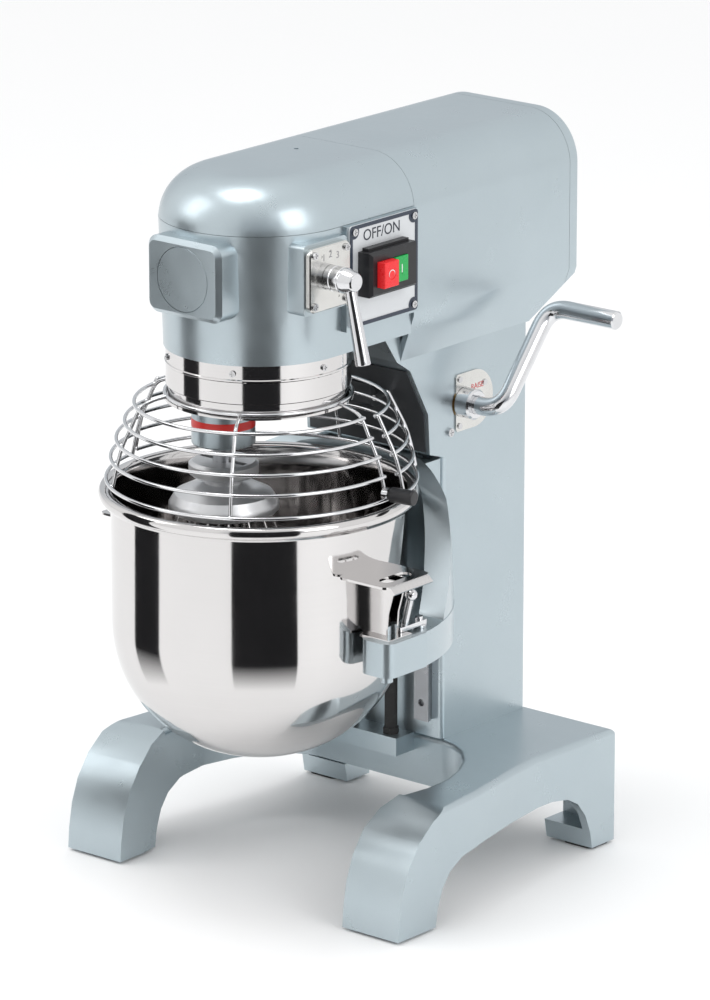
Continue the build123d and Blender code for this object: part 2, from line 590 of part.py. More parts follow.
def make_gears():
    """The motor, countershaft, main shaft and bevel drive."""
    apex = (0, AXIS_Y, DRIVE_Z)
    bevel(apex, (0, 1, 0), (0, 0, -1), 15, 3.0, 26.565, 0, 0.7, "bevel_pinion",
          lambda: turned_y([(0, -125.5), (13.4, -125.5), (20.3, -110.2), (14, -104), (14, -94),
                            (0, -94)]), 9)
    bevel(apex, (0, 0, -1), (0, 1, 0), 30, 3.0, 63.435, 6, 0.7, "bevel_gear",
          lambda: turned([(0, 671.5), (28.5, 671.0), (43.2, 664.2), (40, 657), (22, 654), (22, 642),
                          (0, 642)]), 15)
    with BuildPart() as main:
        rod((0, -262, DRIVE_Z), (0, 1, 0), 9, 251.5)
        block((-5, 5), (-262, -250), (DRIVE_Z - 5, DRIVE_Z + 5), Mode.SUBTRACT)
    finish(main.part, "main_shaft")
    with BuildPart() as gear:
        extrude(gear_sketch(gear_plane(0, DRIVE_Z, -26), gear_points(38, 2, 90 + 180 / 38 * 0)), amount=12)
        rod((0, -30, DRIVE_Z), (0, 1, 0), 9, 30, Mode.SUBTRACT)
        with Locations(Plane(origin=(0, -20, DRIVE_Z), z_dir=(0, 1, 0))):
            with PolarLocations(24, 5):
                Cylinder(6, 30, mode=Mode.SUBTRACT)
    finish(gear.part, "main_gear")
    with BuildPart() as gears:
        extrude(gear_sketch(gear_plane(0, COUNTER_Z, -26), gear_points(16, 2, -90 + 180 / 16)), amount=12)
        extrude(gear_sketch(gear_plane(0, COUNTER_Z, -8), gear_points(40, 2, -90)), amount=12)
        rod((0, -14.5, COUNTER_Z), (0, 1, 0), 12, 7)
        rod((0, -42, COUNTER_Z), (0, 1, 0), 8, 60)
    finish(gears.part, "countershaft")
    with BuildPart() as rotor:
        rod((0, -8, DRIVE_Z), (0, 1, 0), 8, 226)
        turned_y([(8, 70), (38, 70), (38, 170), (8, 170)])
    finish(rotor.part, "motor_rotor")
    with BuildPart() as pinion:
        extrude(gear_sketch(gear_plane(0, DRIVE_Z, -8), gear_points(14, 2, 90 + 180 / 14)), amount=12)
        rod((0, -20, DRIVE_Z), (0, 1, 0), 8, 40, Mode.SUBTRACT)
    finish(pinion.part, "motor_pinion")
    with BuildPart() as fan:
        turned_y([(8, 206), (14, 206), (14, 216), (8, 216)])
        turned_y([(14, 206), (56, 206), (56, 207.5), (14, 207.5)])
        with Locations(Plane(origin=(0, 211, DRIVE_Z), z_dir=(0, 1, 0))):
            with PolarLocations(36, 9):
                Box(38, 1.5, 9)
    finish(fan.part, "motor_fan")
    with BuildPart() as stator:
        turned_y([(38.6, 62), (66, 62), (66, 184), (38.6, 184)])
        turned_y([(42, 48), (60, 48), (60, 62), (42, 62)])
        turned_y([(42, 184), (60, 184), (60, 194), (42, 194)])
        for n in range(18):
            angle = math.radians(20 * n)
            x, z = 67 * math.cos(angle), DRIVE_Z + 67 * math.sin(angle)
            rod((x, 61, z), (0, 1, 0), 2.2, 124, Mode.SUBTRACT)
    finish(stator.part, "motor_stator")
    with BuildPart() as mount:
        turned_y([(8 + RUN + 6, 197), (66, 197), (66, 202), (8 + RUN + 6, 202)])
        for side in (-1, 1):
            block((side * 60, side * 96), (197, 202), (680, 698))
        for side in (-1, 1):
            block((side * 36, side * 96), (64, 202), (638, 650))
        turned_y([(0, 20), (66, 20), (66, 196.9), (0, 196.9)], mode=Mode.SUBTRACT)
    finish(mount.part, "motor_cradle")
    with BuildPart() as bearings:
        ring_pieces([(9 + RUN, 20, -256, -245), (9 + RUN, 17, -40, -31), (8 + RUN, 17, 7, 16),
                     (8 + RUN, 14 + RUN, 197, 202)], "y", 0, 0, DRIVE_Z)
        ring_pieces([(8 + RUN, 14, -40, -31), (8 + RUN, 14, 8, 16)], "y", 0, 0, COUNTER_Z)
        ring_pieces([(15 + RUN, 26, 601, 614), (15 + RUN, 26, 618, 631)])
    finish(bearings.part, "bearings")


# ---- planetary head and whisk ------------------------------------------------------------------
def make_planetary():
    """The drip ring, fixed ring gear, planetary head, agitator shaft and whisk."""
    reach = math.degrees(math.atan2(AGI_Y - AXIS_Y, AGI_X))
    with BuildPart() as ring:
        turned([(94, 560), (94, 599), (97, 599), (97, 584), (98, 583), (98, 581.5), (97, 580.5),
                (97, 558), (96, 557), (88, 557), (88, 560)])
        for n in range(6):
            angle = math.radians(60 * n - 65)
            start = (90 * math.cos(angle), AXIS_Y + 90 * math.sin(angle), 590)
            rod(start, (math.cos(angle), math.sin(angle), 0), 2.0, 12, Mode.SUBTRACT)
    finish(ring.part, "drip_ring")
    with BuildPart() as fixed:
        turned([(0, 583), (73, 583), (73, 597), (94, 597), (94, NOSE_FLOOR), (0, NOSE_FLOOR)])
        outline = gear_points(64, 2, reach, 1.08, 1.1, 0.8)
        extrude(gear_sketch(Plane(origin=(0, AXIS_Y, 580)), outline), amount=30, mode=Mode.SUBTRACT)
        with Locations(Plane(origin=(0, AXIS_Y, 598))):
            with PolarLocations(84, 8):
                Cylinder(3, 10, mode=Mode.SUBTRACT)
    finish(fixed.part, "ring_gear")
    with BuildPart() as shaft:
        rod((0, AXIS_Y, 562), (0, 0, 1), 15, 110)
        block((-20, -12.5), (AXIS_Y - 3, AXIS_Y + 3), (643, 666), Mode.SUBTRACT)
    finish(shaft.part, "planetary_shaft")
    with BuildPart() as head:
        turned([(0, 562), (86, 562), (86, 576), (30, 579), (26, 582), (0, 582)])
        rod((AGI_X, AGI_Y, 484), (0, 0, 1), 33.7, 80)
        fillet(head.edges().filter_by(GeomType.CIRCLE).sort_by(Axis.Z)[0], 2)
        rod((AGI_X, AGI_Y, 470), (0, 0, 1), 11.5 + RUN, 130, Mode.SUBTRACT)
        rod((0, AXIS_Y, 550), (0, 0, 1), 15, 60, Mode.SUBTRACT)
        with BuildSketch(Plane.XY.offset(503.5)):
            with Locations((AGI_X, AGI_Y)):
                Circle(34)
                Circle(33.2, mode=Mode.SUBTRACT)
        extrude(amount=9, mode=Mode.SUBTRACT)
    finish(head.part, "planetary_head")
    with BuildPart() as mark:
        turned([(33.2, 503.5), (33.9, 503.5), (33.9, 512.5), (33.2, 512.5)], AGI_X, AGI_Y)
    finish(mark.part, "index_band")
    with BuildPart() as pinion:
        outline = gear_points(20, 2, reach)
        extrude(gear_sketch(Plane(origin=(AGI_X, AGI_Y, 584.5)), outline), amount=11)
        rod((AGI_X, AGI_Y, 570), (0, 0, 1), 10, 40, Mode.SUBTRACT)
    finish(pinion.part, "planet_pinion")
    with BuildPart() as agitator:
        rod((AGI_X, AGI_Y, 430), (0, 0, 1), 11.5, 152.5)
        rod((AGI_X, AGI_Y, 582.5), (0, 0, 1), 10, 13.5)
        rod((AGI_X - 17, AGI_Y, 457), (1, 0, 0), 4, 34)
    finish(agitator.part, "agitator_shaft")
    with BuildPart() as hub:
        turned([(11.6, 443), (20, 443), (20, 449), (33, 449), (37, 452), (37, 462), (33, 465),
                (11.6, 465)], AGI_X, AGI_Y)
        turned([(11.6, 411), (56, 411), (58.5, 414), (58.5, 419), (52, 430), (38, 437), (20, 441),
                (20, 443), (11.6, 443)], AGI_X, AGI_Y)
        rod((AGI_X - 30, AGI_Y, 457), (1, 0, 0), 4.1, 60, Mode.SUBTRACT)
        block((AGI_X - 30, AGI_X + 30), (AGI_Y - 4.1, AGI_Y + 4.1), (457, 470), Mode.SUBTRACT)
    finish(hub.part, "whisk_hub")
    with BuildPart() as wires:
        for n in range(7):
            turn = math.radians(180 / 7 * n + 8)
            plane = Plane(origin=(AGI_X, AGI_Y, 0), x_dir=(math.cos(turn), math.sin(turn), 0),
                          z_dir=(math.sin(turn), -math.cos(turn), 0))
            low = 178 + 3.6 * n
            half = [(46, 416), (52, 400), (68, 360), (82, 300), (80, 250), (64, 210), (36, low + 7)]
            points = half + [(0, low)] + [(-a, b) for a, b in reversed(half)]
            with BuildLine(plane) as path:
                Spline(*points)
            with BuildSketch(Plane(origin=path.line @ 0, z_dir=path.line % 0)) as round_wire:
                Circle(1.5)
            sweep(round_wire.sketch, path.line)
    finish(wires.part, "whisk_wires")



def pan_screw(head, direction, radius, height, shank, length):
    """A pan-head screw: its head stands on a point, its shank goes back into the work."""
    back = (-direction[0], -direction[1], -direction[2])
    rod(head, direction, radius, height)
    rod(head, back, shank, length)
    with Locations(Plane(origin=head, z_dir=direction)):
        with Locations((0, 0, height)):
            Box(radius * 1.4, 1.0, 1.6, mode=Mode.SUBTRACT)
            Box(1.0, radius * 1.4, 1.6, mode=Mode.SUBTRACT)


def make_screws():
    """The small screws and rivets that hold the plates, covers and drip ring."""
    with BuildPart() as screws:
        for x in (-69, 69):
            for z in (163, 356, 549):
                pan_screw((x, COL_REAR + 1.5, z), (0, 1, 0), 4.0, 2.4, 2.1, 1.5)
        for x in (-72, 72):
            for z in (660, 740):
                pan_screw((x, REAR_END, z), (0, 1, 0), 4.4, 2.6, 2.1, 4)
        for y, z in SPEED_HOLES:
            pan_screw((115, y, z), (1, 0, 0), 3.9, 2.4, 1.95, 9)
        for y, z in SWITCH_HOLES:
            pan_screw((109, y, z), (1, 0, 0), 3.9, 2.4, 1.95, 6)
        for n in range(6):
            angle = math.radians(60 * n - 65)
            way = (math.cos(angle), math.sin(angle), 0)
            pan_screw((97 * way[0], AXIS_Y + 97 * way[1], 590), way, 3.4, 2, 1.95, 3)
        for y, z in ((70, 475), (70, 526), (112, 515)):
            rod((COL_X, y, z), (1, 0, 0), 1.55, 2)
            rod((COL_X + 1.6, y, z), (1, 0, 0), 3.2, 1.4)
        pan_screw((COL_X, 55, 471), (1, 0, 0), 4.6, 3, 2, 0.5)
    finish(screws.part, "plate_screws")


# ---- wire guard --------------------------------------------------------------------------------
RINGS = [(130, 536), (140, 516), (149, 497), (155, 477), (160, 454)]
WIRE = 2.0


def guard_plane(angle):
    """The upright plane through the planetary axis at a plan angle."""
    turn = math.radians(angle)
    return Plane(origin=(0, AXIS_Y, 0), x_dir=(math.cos(turn), math.sin(turn), 0),
                 z_dir=(math.sin(turn), -math.cos(turn), 0))


def wire_ring(radius, height, start, sweep_angle):
    """A round wire bent to an arc about the planetary axis."""
    with BuildSketch(guard_plane(start), mode=Mode.PRIVATE) as section:
        with Locations((radius, height)):
            Circle(WIRE)
    revolve(section.sketch, axis=Axis((0, AXIS_Y, 0), (0, 0, 1)), revolution_arc=sweep_angle)


def upright_wire(points, angle):
    """A round wire that runs down across the rings at one plan angle."""
    with BuildLine(guard_plane(angle)) as path:
        Spline(*points)
    with BuildSketch(Plane(origin=path.line @ 0, z_dir=path.line % 0), mode=Mode.PRIVATE) as section:
        Circle(WIRE)
    sweep(section.sketch, path.line)


def make_guard():
    """The guard's track, its opening front half with a knob, its fixed rear half and the interlock."""
    with BuildPart() as track:
        turned([(84, 541.5), (99, 541.5), (99, 544.6), (94.5, 544.6), (94.5, 557), (84, 557)])
    finish(track.part, "guard_track")
    with BuildPart() as front:
        wire_ring(98, 547, 0, 360)
        for radius, height in RINGS:
            wire_ring(radius, height, -171, 179)
        for angle in (-170.5, -125, -60, 7.5):
            upright_wire([(99.5, 547), (114, 543.5)] + [(r - 3.2, z) for r, z in RINGS], angle)
        turn = math.radians(7.5)
        way = (math.cos(turn), math.sin(turn), 0)
        rod((155 * way[0], AXIS_Y + 155 * way[1], 459.5), way, 6.5, 7)
        rod((161 * way[0], AXIS_Y + 161 * way[1], 459.5), way, 3, 24)
    finish(front.part, "guard_front")
    with BuildPart() as knob:
        rod((164 * way[0], AXIS_Y + 164 * way[1], 459.5), way, 8, 28)
        fillet(knob.edges().filter_by(GeomType.CIRCLE), 1.5)
        rod((150 * way[0], AXIS_Y + 150 * way[1], 459.5), way, 3, 35, Mode.SUBTRACT)
    finish(knob.part, "guard_knob")
    with BuildPart() as rear:
        for radius, height in RINGS:
            wire_ring(radius + 6, height, 13, 169)
        for angle in (13.5, 54, 100, 140, 181.5):
            upright_wire([(r + 9.2, z) for r, z in RINGS], angle)
        for x in (-40, 40):
            rod((x, -16.5, 516), (0, 1, 0), 3, 23.5)
    finish(rear.part, "guard_rear")
    with BuildPart() as shield:
        sheet = [(21.8, 455), (18.95, 498), (-10, 550.2), (-11.5, 550.2), (17.4, 498), (20.4, 455)]
        extrude(side_face(sheet), amount=80, both=True)
        box = [(17.6, 499), (2.6, 526), (-1, 524), (-1, 503), (4, 499)]
        extrude(side_face(box), amount=22, both=True)
    finish(shield.part, "neck_shield")


# ---- bowl lift ---------------------------------------------------------------------------------
PINION_TEETH, LIFT_MODULE = 24, 3.0
RACK_PITCH = math.pi * LIFT_MODULE


def make_lift():
    """The crank, its pinion, the rack, and the yoke that carries the bowl."""
    with BuildPart() as crank:
        first, second = Vector(138, CRANK_Y, CRANK_Z), Vector(138, 158, 597)
        arm = (second - first).normalized()
        with BuildLine() as path:
            Line((-88, CRANK_Y, CRANK_Z), first - Vector(26, 0, 0))
            Bezier(first - Vector(26, 0, 0), first - Vector(8, 0, 0), first + arm * 8, first + arm * 26)
            Line(first + arm * 26, second - arm * 26)
            Bezier(second - arm * 26, second - arm * 8, second + Vector(8, 0, 0), second + Vector(26, 0, 0))
            Line(second + Vector(26, 0, 0), (229, 158, 597))
        with BuildSketch(Plane(origin=(-88, CRANK_Y, CRANK_Z), z_dir=(1, 0, 0)), mode=Mode.PRIVATE) as cut:
            Circle(10)
        sweep(cut.sketch, path.line)
        chamfer(crank.edges().filter_by(GeomType.CIRCLE).sort_by(Axis.X)[-1], 1.5)
    finish(crank.part, "crank_lever")
    with BuildPart() as pinion:
        spot = Plane(origin=(-8, CRANK_Y, CRANK_Z), x_dir=(0, 1, 0), z_dir=(1, 0, 0))
        extrude(gear_sketch(spot, gear_points(PINION_TEETH, LIFT_MODULE, 180)), amount=16)
        rod((-16, CRANK_Y, CRANK_Z), (1, 0, 0), 17, 32)
        rod((-30, CRANK_Y, CRANK_Z), (1, 0, 0), 10, 60, Mode.SUBTRACT)
    finish(pinion.part, "lift_pinion")
    with BuildPart() as rack:
        block((-9, 9), (29, 37.7), (325, 616))
        for n in range(-2, 12):
            z = CRANK_Z + RACK_PITCH * (n + 0.5)
            tooth = [(37.7, z - 3.6), (41, z - 2.05), (43.4, z - 0.95), (43.4, z + 0.95), (41, z + 2.05),
                     (37.7, z + 3.6)]
            extrude(side_face(tooth), amount=9, both=True)
    finish(rack.part, "lift_rack")
    with BuildPart() as yoke:
        with BuildSketch(Plane.XY.offset(280)):
            with Locations((0, AXIS_Y)):
                Circle(205)
            with Locations((0, AXIS_Y - 120)):
                Rectangle(500, 240, mode=Mode.SUBTRACT)
            for side in (-1, 1):
                with Locations((side * 184, AXIS_Y - 11)):
                    RectangleRounded(42, 44, 12)
                with Locations((side * 184, AXIS_Y + 8)):
                    Rectangle(42, 40)
            with BuildLine():
                Polyline((-210, -146.4), (-210, -195), (-169.5, -195), close=True)
            make_face(mode=Mode.SUBTRACT)
            with Locations((0, AXIS_Y)):
                Circle(163, mode=Mode.SUBTRACT)
        extrude(amount=37)
        block((-300, 300), (43.4, 120), (200, 500), Mode.SUBTRACT)
        with BuildPart(mode=Mode.PRIVATE) as wall:
            turned([(174, 300), (205, 300), (203, 380), (197, 425), (186, 450), (174, 450)])
            profile = [(-92, 300), (-84, 320), (-66, 345), (-45, 385), (-20, 425), (0, 445), (12, 450.5),
                       (43.4, 450.5), (43.4, 300)]
            extrude(side_face(profile), amount=300, both=True, mode=Mode.INTERSECT)
        add(wall.part)
        block((-82, 82), (8, 43.4), (282, 444))
        turned([(0, 279), (163, 279), (163, 317), (174, 325), (174, 470), (0, 470)], mode=Mode.SUBTRACT)
        block((-300, 300), (20, 60), (444, 460), Mode.SUBTRACT)
        for side in (-1, 1):
            groove = [(side * x, y) for x, y in ((58.4, 45), (71.6, 45), (75.5, 32.6), (54.5, 32.6))]
            extrude(plan_face(groove, 270), amount=200, mode=Mode.SUBTRACT)
            rod((side * 182, -166, 310), (0, 0, 1), 5, 19)
            rod((side * (184 + 4 * side), -169 - 4 * side, 271), (0, 0, 1), 6.5, 12)
            rod((side * 186, -118, 298), (0, 0, 1), 4 + RUN, 30, Mode.SUBTRACT)
        block((-9, 9), (29, 60), (325, 500), Mode.SUBTRACT)
    finish(yoke.part, "bowl_yoke")
    for name, side in (("bowl_clamp_right", 1), ("bowl_clamp_left", -1)):
        with BuildPart() as clamp:
            block((side * 180, side * 192), (-156, -110), (320.4, 325.4))
            fillet(clamp.edges().filter_by(Axis.Z), 4)
            rod((side * 186, -118, 299), (0, 0, 1), 4, 30)
            rod((side * 186, -118, 317.2), (0, 0, 1), 8, 3.2)
            rod((side * 187, -144, 322), (side * 0.25, 0, 1), 3.6, 36)
            with Locations((side * 196.5, -144, 360)):
                Sphere(6.5)
        finish(clamp.part, name)


# ---- bowl --------------------------------------------------------------------------------------
def bowl_curve(shrink):
    """The rounded bottom of the bowl, from its centre out, as (radius, height) points."""
    points = []
    for n in range(0, 19):
        turn = math.radians(5 * n)
        radius = (BOWL_R - shrink) * math.sin(turn) ** (2 / BOWL_POWER)
        depth = (BOWL_DEPTH - shrink) * max(0.0, math.cos(turn)) ** (2 / BOWL_POWER)
        points.append((radius, BOWL_STRAIGHT - depth))
    return points


def make_bowl():
    """The stainless bowl with its rolled rim, and the brackets that sit on the yoke."""
    with BuildPart() as bowl:
        outer, inner = bowl_curve(0), bowl_curve(SHEET)
        with BuildSketch(upright(0, AXIS_Y), mode=Mode.PRIVATE) as drawn:
            with BuildLine():
                Spline(*outer, tangents=[(1, 0), (0, 1)])
                Polyline(outer[-1], (BOWL_R, 430), (165, 430.5), (168.4, 433.5), (RIM_R, 442),
                         (165.8, RIM_Z), (159, RIM_Z), (BOWL_R - SHEET, 441), inner[-1])
                Spline(*inner, tangents=[(1, 0), (0, 1)])
                Line(outer[0], inner[0])
            make_face()
        revolve(drawn.sketch, axis=Axis((0, AXIS_Y, 0), (0, 0, 1)))
    finish(bowl.part, "bowl")
    with BuildPart() as brackets:
        with BuildSketch(Plane.XY.offset(383)):
            with Locations((183, -171.5)):
                RectangleRounded(66, 73, 8)
            with Locations((198, -171.5)):
                SlotOverall(44, 15, rotation=90, mode=Mode.SUBTRACT)
            with Locations((-170, -163)):
                RectangleRounded(50, 56, 6)
        extrude(amount=2.5)
        lip = [(213, 383), (217, 382), (222, 377.5), (223.5, 379.2), (218, 384.6), (214, 385.5)]
        extrude(front_face(lip, -203), amount=62)
        for n in range(9):
            rod((215.6, -198 + 6.5 * n, 384.6), (7, 0, -5), 0.9, 8)
        for side, top, waist, low, front in ((1, 203, 192, 200, -184), (-1, 186, 184, 190, -172)):
            web = [(150, 383.2), (top, 383.2), (waist, 345), (waist - 2, 319.9), (160, 319.9), (150, 330)]
            for y in (-177, -160):
                extrude(front_face([(side * x, z) for x, z in web], y), amount=2.5)
            block((side * 157, side * 163), (-190, -137), (383, 385.5))
            block((side * 160, side * low), (front, -147), (317, 320))
            rod((side * 182, -166, 300), (0, 0, 1), 5, 60, Mode.SUBTRACT)
        rod((0, AXIS_Y, 300), (0, 0, 1), BOWL_R, 200, Mode.SUBTRACT)
    finish(brackets.part, "bowl_brackets")


make_base()
make_pads()
make_column()
make_column_trim()
make_ways()
make_head()
make_covers()
make_controls()
make_shift()
make_gears()
make_planetary()
make_screws()
make_guard()
make_lift()
make_bowl()
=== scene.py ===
"""Looks of a bench-standing planetary mixer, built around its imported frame.

Each sub-assembly is a class that holds its sizes and makes its own pieces, and each finish is a small
frozen class that builds one procedural material. Lengths are in metres, in the frame's own axes.
"""

from __future__ import annotations

import json
import logging
import math
from dataclasses import dataclass, field
from enum import Enum
from typing import Sequence

import bmesh
import bpy
from mathutils import Matrix, Vector

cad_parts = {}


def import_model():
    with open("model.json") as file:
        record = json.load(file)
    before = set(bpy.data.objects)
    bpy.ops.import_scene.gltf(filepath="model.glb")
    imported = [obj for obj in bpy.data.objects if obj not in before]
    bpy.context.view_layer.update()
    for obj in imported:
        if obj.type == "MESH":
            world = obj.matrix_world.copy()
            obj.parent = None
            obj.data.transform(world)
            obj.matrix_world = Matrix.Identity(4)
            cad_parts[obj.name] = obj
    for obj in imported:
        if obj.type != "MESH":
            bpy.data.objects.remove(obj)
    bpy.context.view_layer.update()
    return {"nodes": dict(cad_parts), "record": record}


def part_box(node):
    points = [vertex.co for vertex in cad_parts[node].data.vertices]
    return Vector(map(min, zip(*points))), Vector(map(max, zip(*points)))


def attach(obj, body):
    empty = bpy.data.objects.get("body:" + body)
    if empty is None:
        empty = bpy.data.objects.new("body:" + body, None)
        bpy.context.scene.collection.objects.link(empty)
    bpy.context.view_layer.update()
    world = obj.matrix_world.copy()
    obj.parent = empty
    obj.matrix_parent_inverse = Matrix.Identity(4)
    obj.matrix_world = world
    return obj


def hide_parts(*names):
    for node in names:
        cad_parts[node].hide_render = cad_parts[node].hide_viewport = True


LOG = logging.getLogger("mixer")
Triple = tuple[float, float, float]
AXIS = (0.0, -0.1565)          # planetary axis, and centre of the bowl, in plan
AGITATOR = (-0.0436, -0.1626)  # agitator axis at rest, in plan


# ---- shader graph ------------------------------------------------------------------------------
class Wire:
    """One output socket of a node, with arithmetic that adds Math nodes."""

    def __init__(self, graph: "Graph", socket: bpy.types.NodeSocket) -> None:
        """Keeps the socket and the graph it belongs to."""
        self.graph = graph
        self.socket = socket

    def maths(self, operation: str, other: "Wire | float | None" = None, flipped: bool = False) -> "Wire":
        """Adds one Math node.

        Args:
            operation: The Math node's operation.
            other: The second value, if the operation takes one.
            flipped: True if the other value comes first.

        Returns:
            The result.
        """
        values: list[Wire | float] = [self] if other is None else [self, other]
        if flipped:
            values.reverse()
        return self.graph.node("ShaderNodeMath", {"operation": operation}, dict(enumerate(values)))

    def __add__(self, other: "Wire | float") -> "Wire":
        """Sum."""
        return self.maths("ADD", other)

    __radd__ = __add__

    def __mul__(self, other: "Wire | float") -> "Wire":
        """Product."""
        return self.maths("MULTIPLY", other)

    __rmul__ = __mul__

    def __sub__(self, other: "Wire | float") -> "Wire":
        """Difference."""
        return self.maths("SUBTRACT", other)

    def __rsub__(self, other: "Wire | float") -> "Wire":
        """Difference from a number, such as 1 - mask."""
        return self.maths("SUBTRACT", other, flipped=True)

    def __truediv__(self, other: "Wire | float") -> "Wire":
        """Quotient."""
        return self.maths("DIVIDE", other)

    def clamped(self) -> "Wire":
        """The value held between nought and one."""
        return self.graph.node("ShaderNodeClamp", {}, {0: self, 1: 0.0, 2: 1.0})


class Graph:
    """A node tree that is filled by one method."""

    def __init__(self, tree: bpy.types.NodeTree) -> None:
        """Empties the tree."""
        self.tree = tree
        tree.nodes.clear()

    def node(
        self,
        kind: str,
        settings: dict[str, object] | None = None,
        values: dict[int | str, object] | None = None,
        output: int | str = 0,
    ) -> Wire:
        """Adds a node.

        Args:
            kind: The node's type.
            settings: Its properties, which are set first.
            values: Its inputs by name or place, each a number, a tuple or a Wire.
            output: Which output to return.

        Returns:
            That output.
        """
        made = self.tree.nodes.new(kind)
        for key, value in (settings or {}).items():
            if key == "stops":
                self._stops(made.color_ramp, value)
            else:
                setattr(made, key, value)
        for key, value in (values or {}).items():
            if isinstance(value, Wire):
                self.tree.links.new(value.socket, made.inputs[key])
            else:
                made.inputs[key].default_value = value
        return Wire(self, made.outputs[output] if len(made.outputs) else None)

    @staticmethod
    def _stops(ramp: bpy.types.ColorRamp, stops: Sequence[tuple[float, Sequence[float]]]) -> None:
        """Sets a colour ramp's stops, as (place, colour) pairs."""
        while len(ramp.elements) > 1:
            ramp.elements.remove(ramp.elements[-1])
        for number, (place, colour) in enumerate(stops):
            element = ramp.elements[0] if number == 0 else ramp.elements.new(place)
            element.position = place
            element.color = colour

    def places(self, scale: Triple = (1.0, 1.0, 1.0)) -> Wire:
        """Object coordinates, stretched a number of times along each axis."""
        source = self.node("ShaderNodeTexCoord", output="Object")
        return self.node("ShaderNodeMapping", {}, {"Vector": source, "Scale": scale})

    def noise(self, scale: float, detail: float = 3.0, rough: float = 0.55, at: Wire | None = None) -> Wire:
        """A noise value between nought and one, at a number of features per metre."""
        spot = at or self.node("ShaderNodeTexCoord", output="Object")
        return self.node("ShaderNodeTexNoise", {"noise_dimensions": "3D"},
                         {"Vector": spot, "Scale": scale, "Detail": detail, "Roughness": rough})

    def blend(self, amount: Wire, first: Triple, second: Triple) -> Wire:
        """A colour between two colours."""
        return self.node("ShaderNodeMix", {"data_type": "RGBA"},
                         {0: amount, 6: (*first, 1.0), 7: (*second, 1.0)}, output=2)

    def bump(self, height: Wire, distance: float, strength: float = 1.0) -> Wire:
        """A normal from a height field."""
        return self.node("ShaderNodeBump", {}, {"Height": height, "Distance": distance,
                                                "Strength": strength})


def spread(value: Wire, low: float, high: float) -> Wire:
    """Stretches the middle of a noise value to run from low to high."""
    return ((value - 0.3) * 2.5).clamped() * (high - low) + low


# ---- finishes ----------------------------------------------------------------------------------
@dataclass(frozen=True)
class Finish:
    """A procedural material with one principled shader."""

    name: str

    def fixed(self) -> dict[str, object]:
        """The shader's values that are the same all over."""
        return {}

    def varied(self, graph: Graph) -> dict[str, Wire]:
        """The shader's values that change over the surface."""
        return {}

    def material(self) -> bpy.types.Material:
        """Builds the material once.

        Returns:
            The material of this name.
        """
        known = bpy.data.materials.get(self.name)
        if known:
            return known
        made = bpy.data.materials.new(self.name)
        made.use_nodes = True
        graph = Graph(made.node_tree)
        shader = graph.node("ShaderNodeBsdfPrincipled", {}, {**self.fixed(), **self.varied(graph)})
        graph.node("ShaderNodeOutputMaterial", {}, {"Surface": shader})
        return made


@dataclass(frozen=True)
class SilverPaint(Finish):
    """Metallic grey stoved paint over a cast skin, with fine flakes and orange peel."""

    base: Triple = (0.385, 0.455, 0.490)
    light: Triple = (0.545, 0.620, 0.655)
    flakes_per_metre: float = 1500.0

    def fixed(self) -> dict[str, object]:
        """Mostly metal, under a thin clear coat."""
        return {"Metallic": 0.88, "Coat Roughness": 0.12}

    def varied(self, graph: Graph) -> dict[str, Wire]:
        """Flakes, slow colour drift, handling marks and the cast skin's bump."""
        drift = graph.noise(5.0, 4.0)
        flake = graph.noise(self.flakes_per_metre, 2.0)
        tone = (drift * 0.5 + flake * 0.45).clamped()
        smears = graph.noise(22.0, 5.0, 0.65)
        peel = graph.noise(330.0, 2.0)
        skin = graph.noise(60.0, 3.0)
        return {
            "Base Color": graph.blend(tone, self.base, self.light),
            "Roughness": spread(smears, 0.24, 0.33) + flake * 0.05,
            "Coat Weight": spread(drift, 0.18, 0.34),
            "Normal": graph.bump(peel * 0.2 + skin, 0.00012, 0.5),
        }


@dataclass(frozen=True)
class SpunStainless(Finish):
    """Polished stainless sheet with fine turning lines and faint wipe marks."""

    tone: Triple = (0.72, 0.705, 0.70)
    gloss: float = 0.055
    lines_per_metre: float = 1400.0

    def fixed(self) -> dict[str, object]:
        """Bare metal."""
        return {"Metallic": 1.0}

    def varied(self, graph: Graph) -> dict[str, Wire]:
        """Level lines round the axis, cloudy wipe marks and a slow polish ripple."""
        stretched = graph.places((6.0, 6.0, self.lines_per_metre))
        lines = graph.noise(1.0, 3.0, 0.6, stretched)
        cloud = graph.noise(14.0, 5.0, 0.6)
        ripple = graph.noise(9.0, 1.0, 0.4, graph.places((1.0, 1.0, 2.2)))
        darker = tuple(c * 0.86 for c in self.tone)
        return {
            "Base Color": graph.blend(lines * 0.5 + cloud * 0.4, darker, self.tone),
            "Roughness": spread(cloud, self.gloss, self.gloss + 0.035) + lines * 0.02,
            "Normal": graph.bump(lines * 0.02 + ripple, 0.0005, 0.22),
        }


@dataclass(frozen=True)
class BrightPlate(Finish):
    """Chromium plate with soft finger smudges and a trace of the wire or bar beneath."""

    tone: Triple = (0.78, 0.785, 0.80)
    gloss: float = 0.045
    grain: float = 500.0

    def fixed(self) -> dict[str, object]:
        """Bare metal."""
        return {"Metallic": 1.0}

    def varied(self, graph: Graph) -> dict[str, Wire]:
        """Smudges and slight waviness of the plating."""
        smudge = graph.noise(40.0, 5.0, 0.65)
        grain = graph.noise(self.grain, 2.0)
        darker = tuple(c * 0.82 for c in self.tone)
        return {
            "Base Color": graph.blend(smudge * 0.9, self.tone, darker),
            "Roughness": spread(smudge, self.gloss, self.gloss + 0.11) + grain * 0.03,
            "Normal": graph.bump(grain, 0.00004, 0.5),
        }


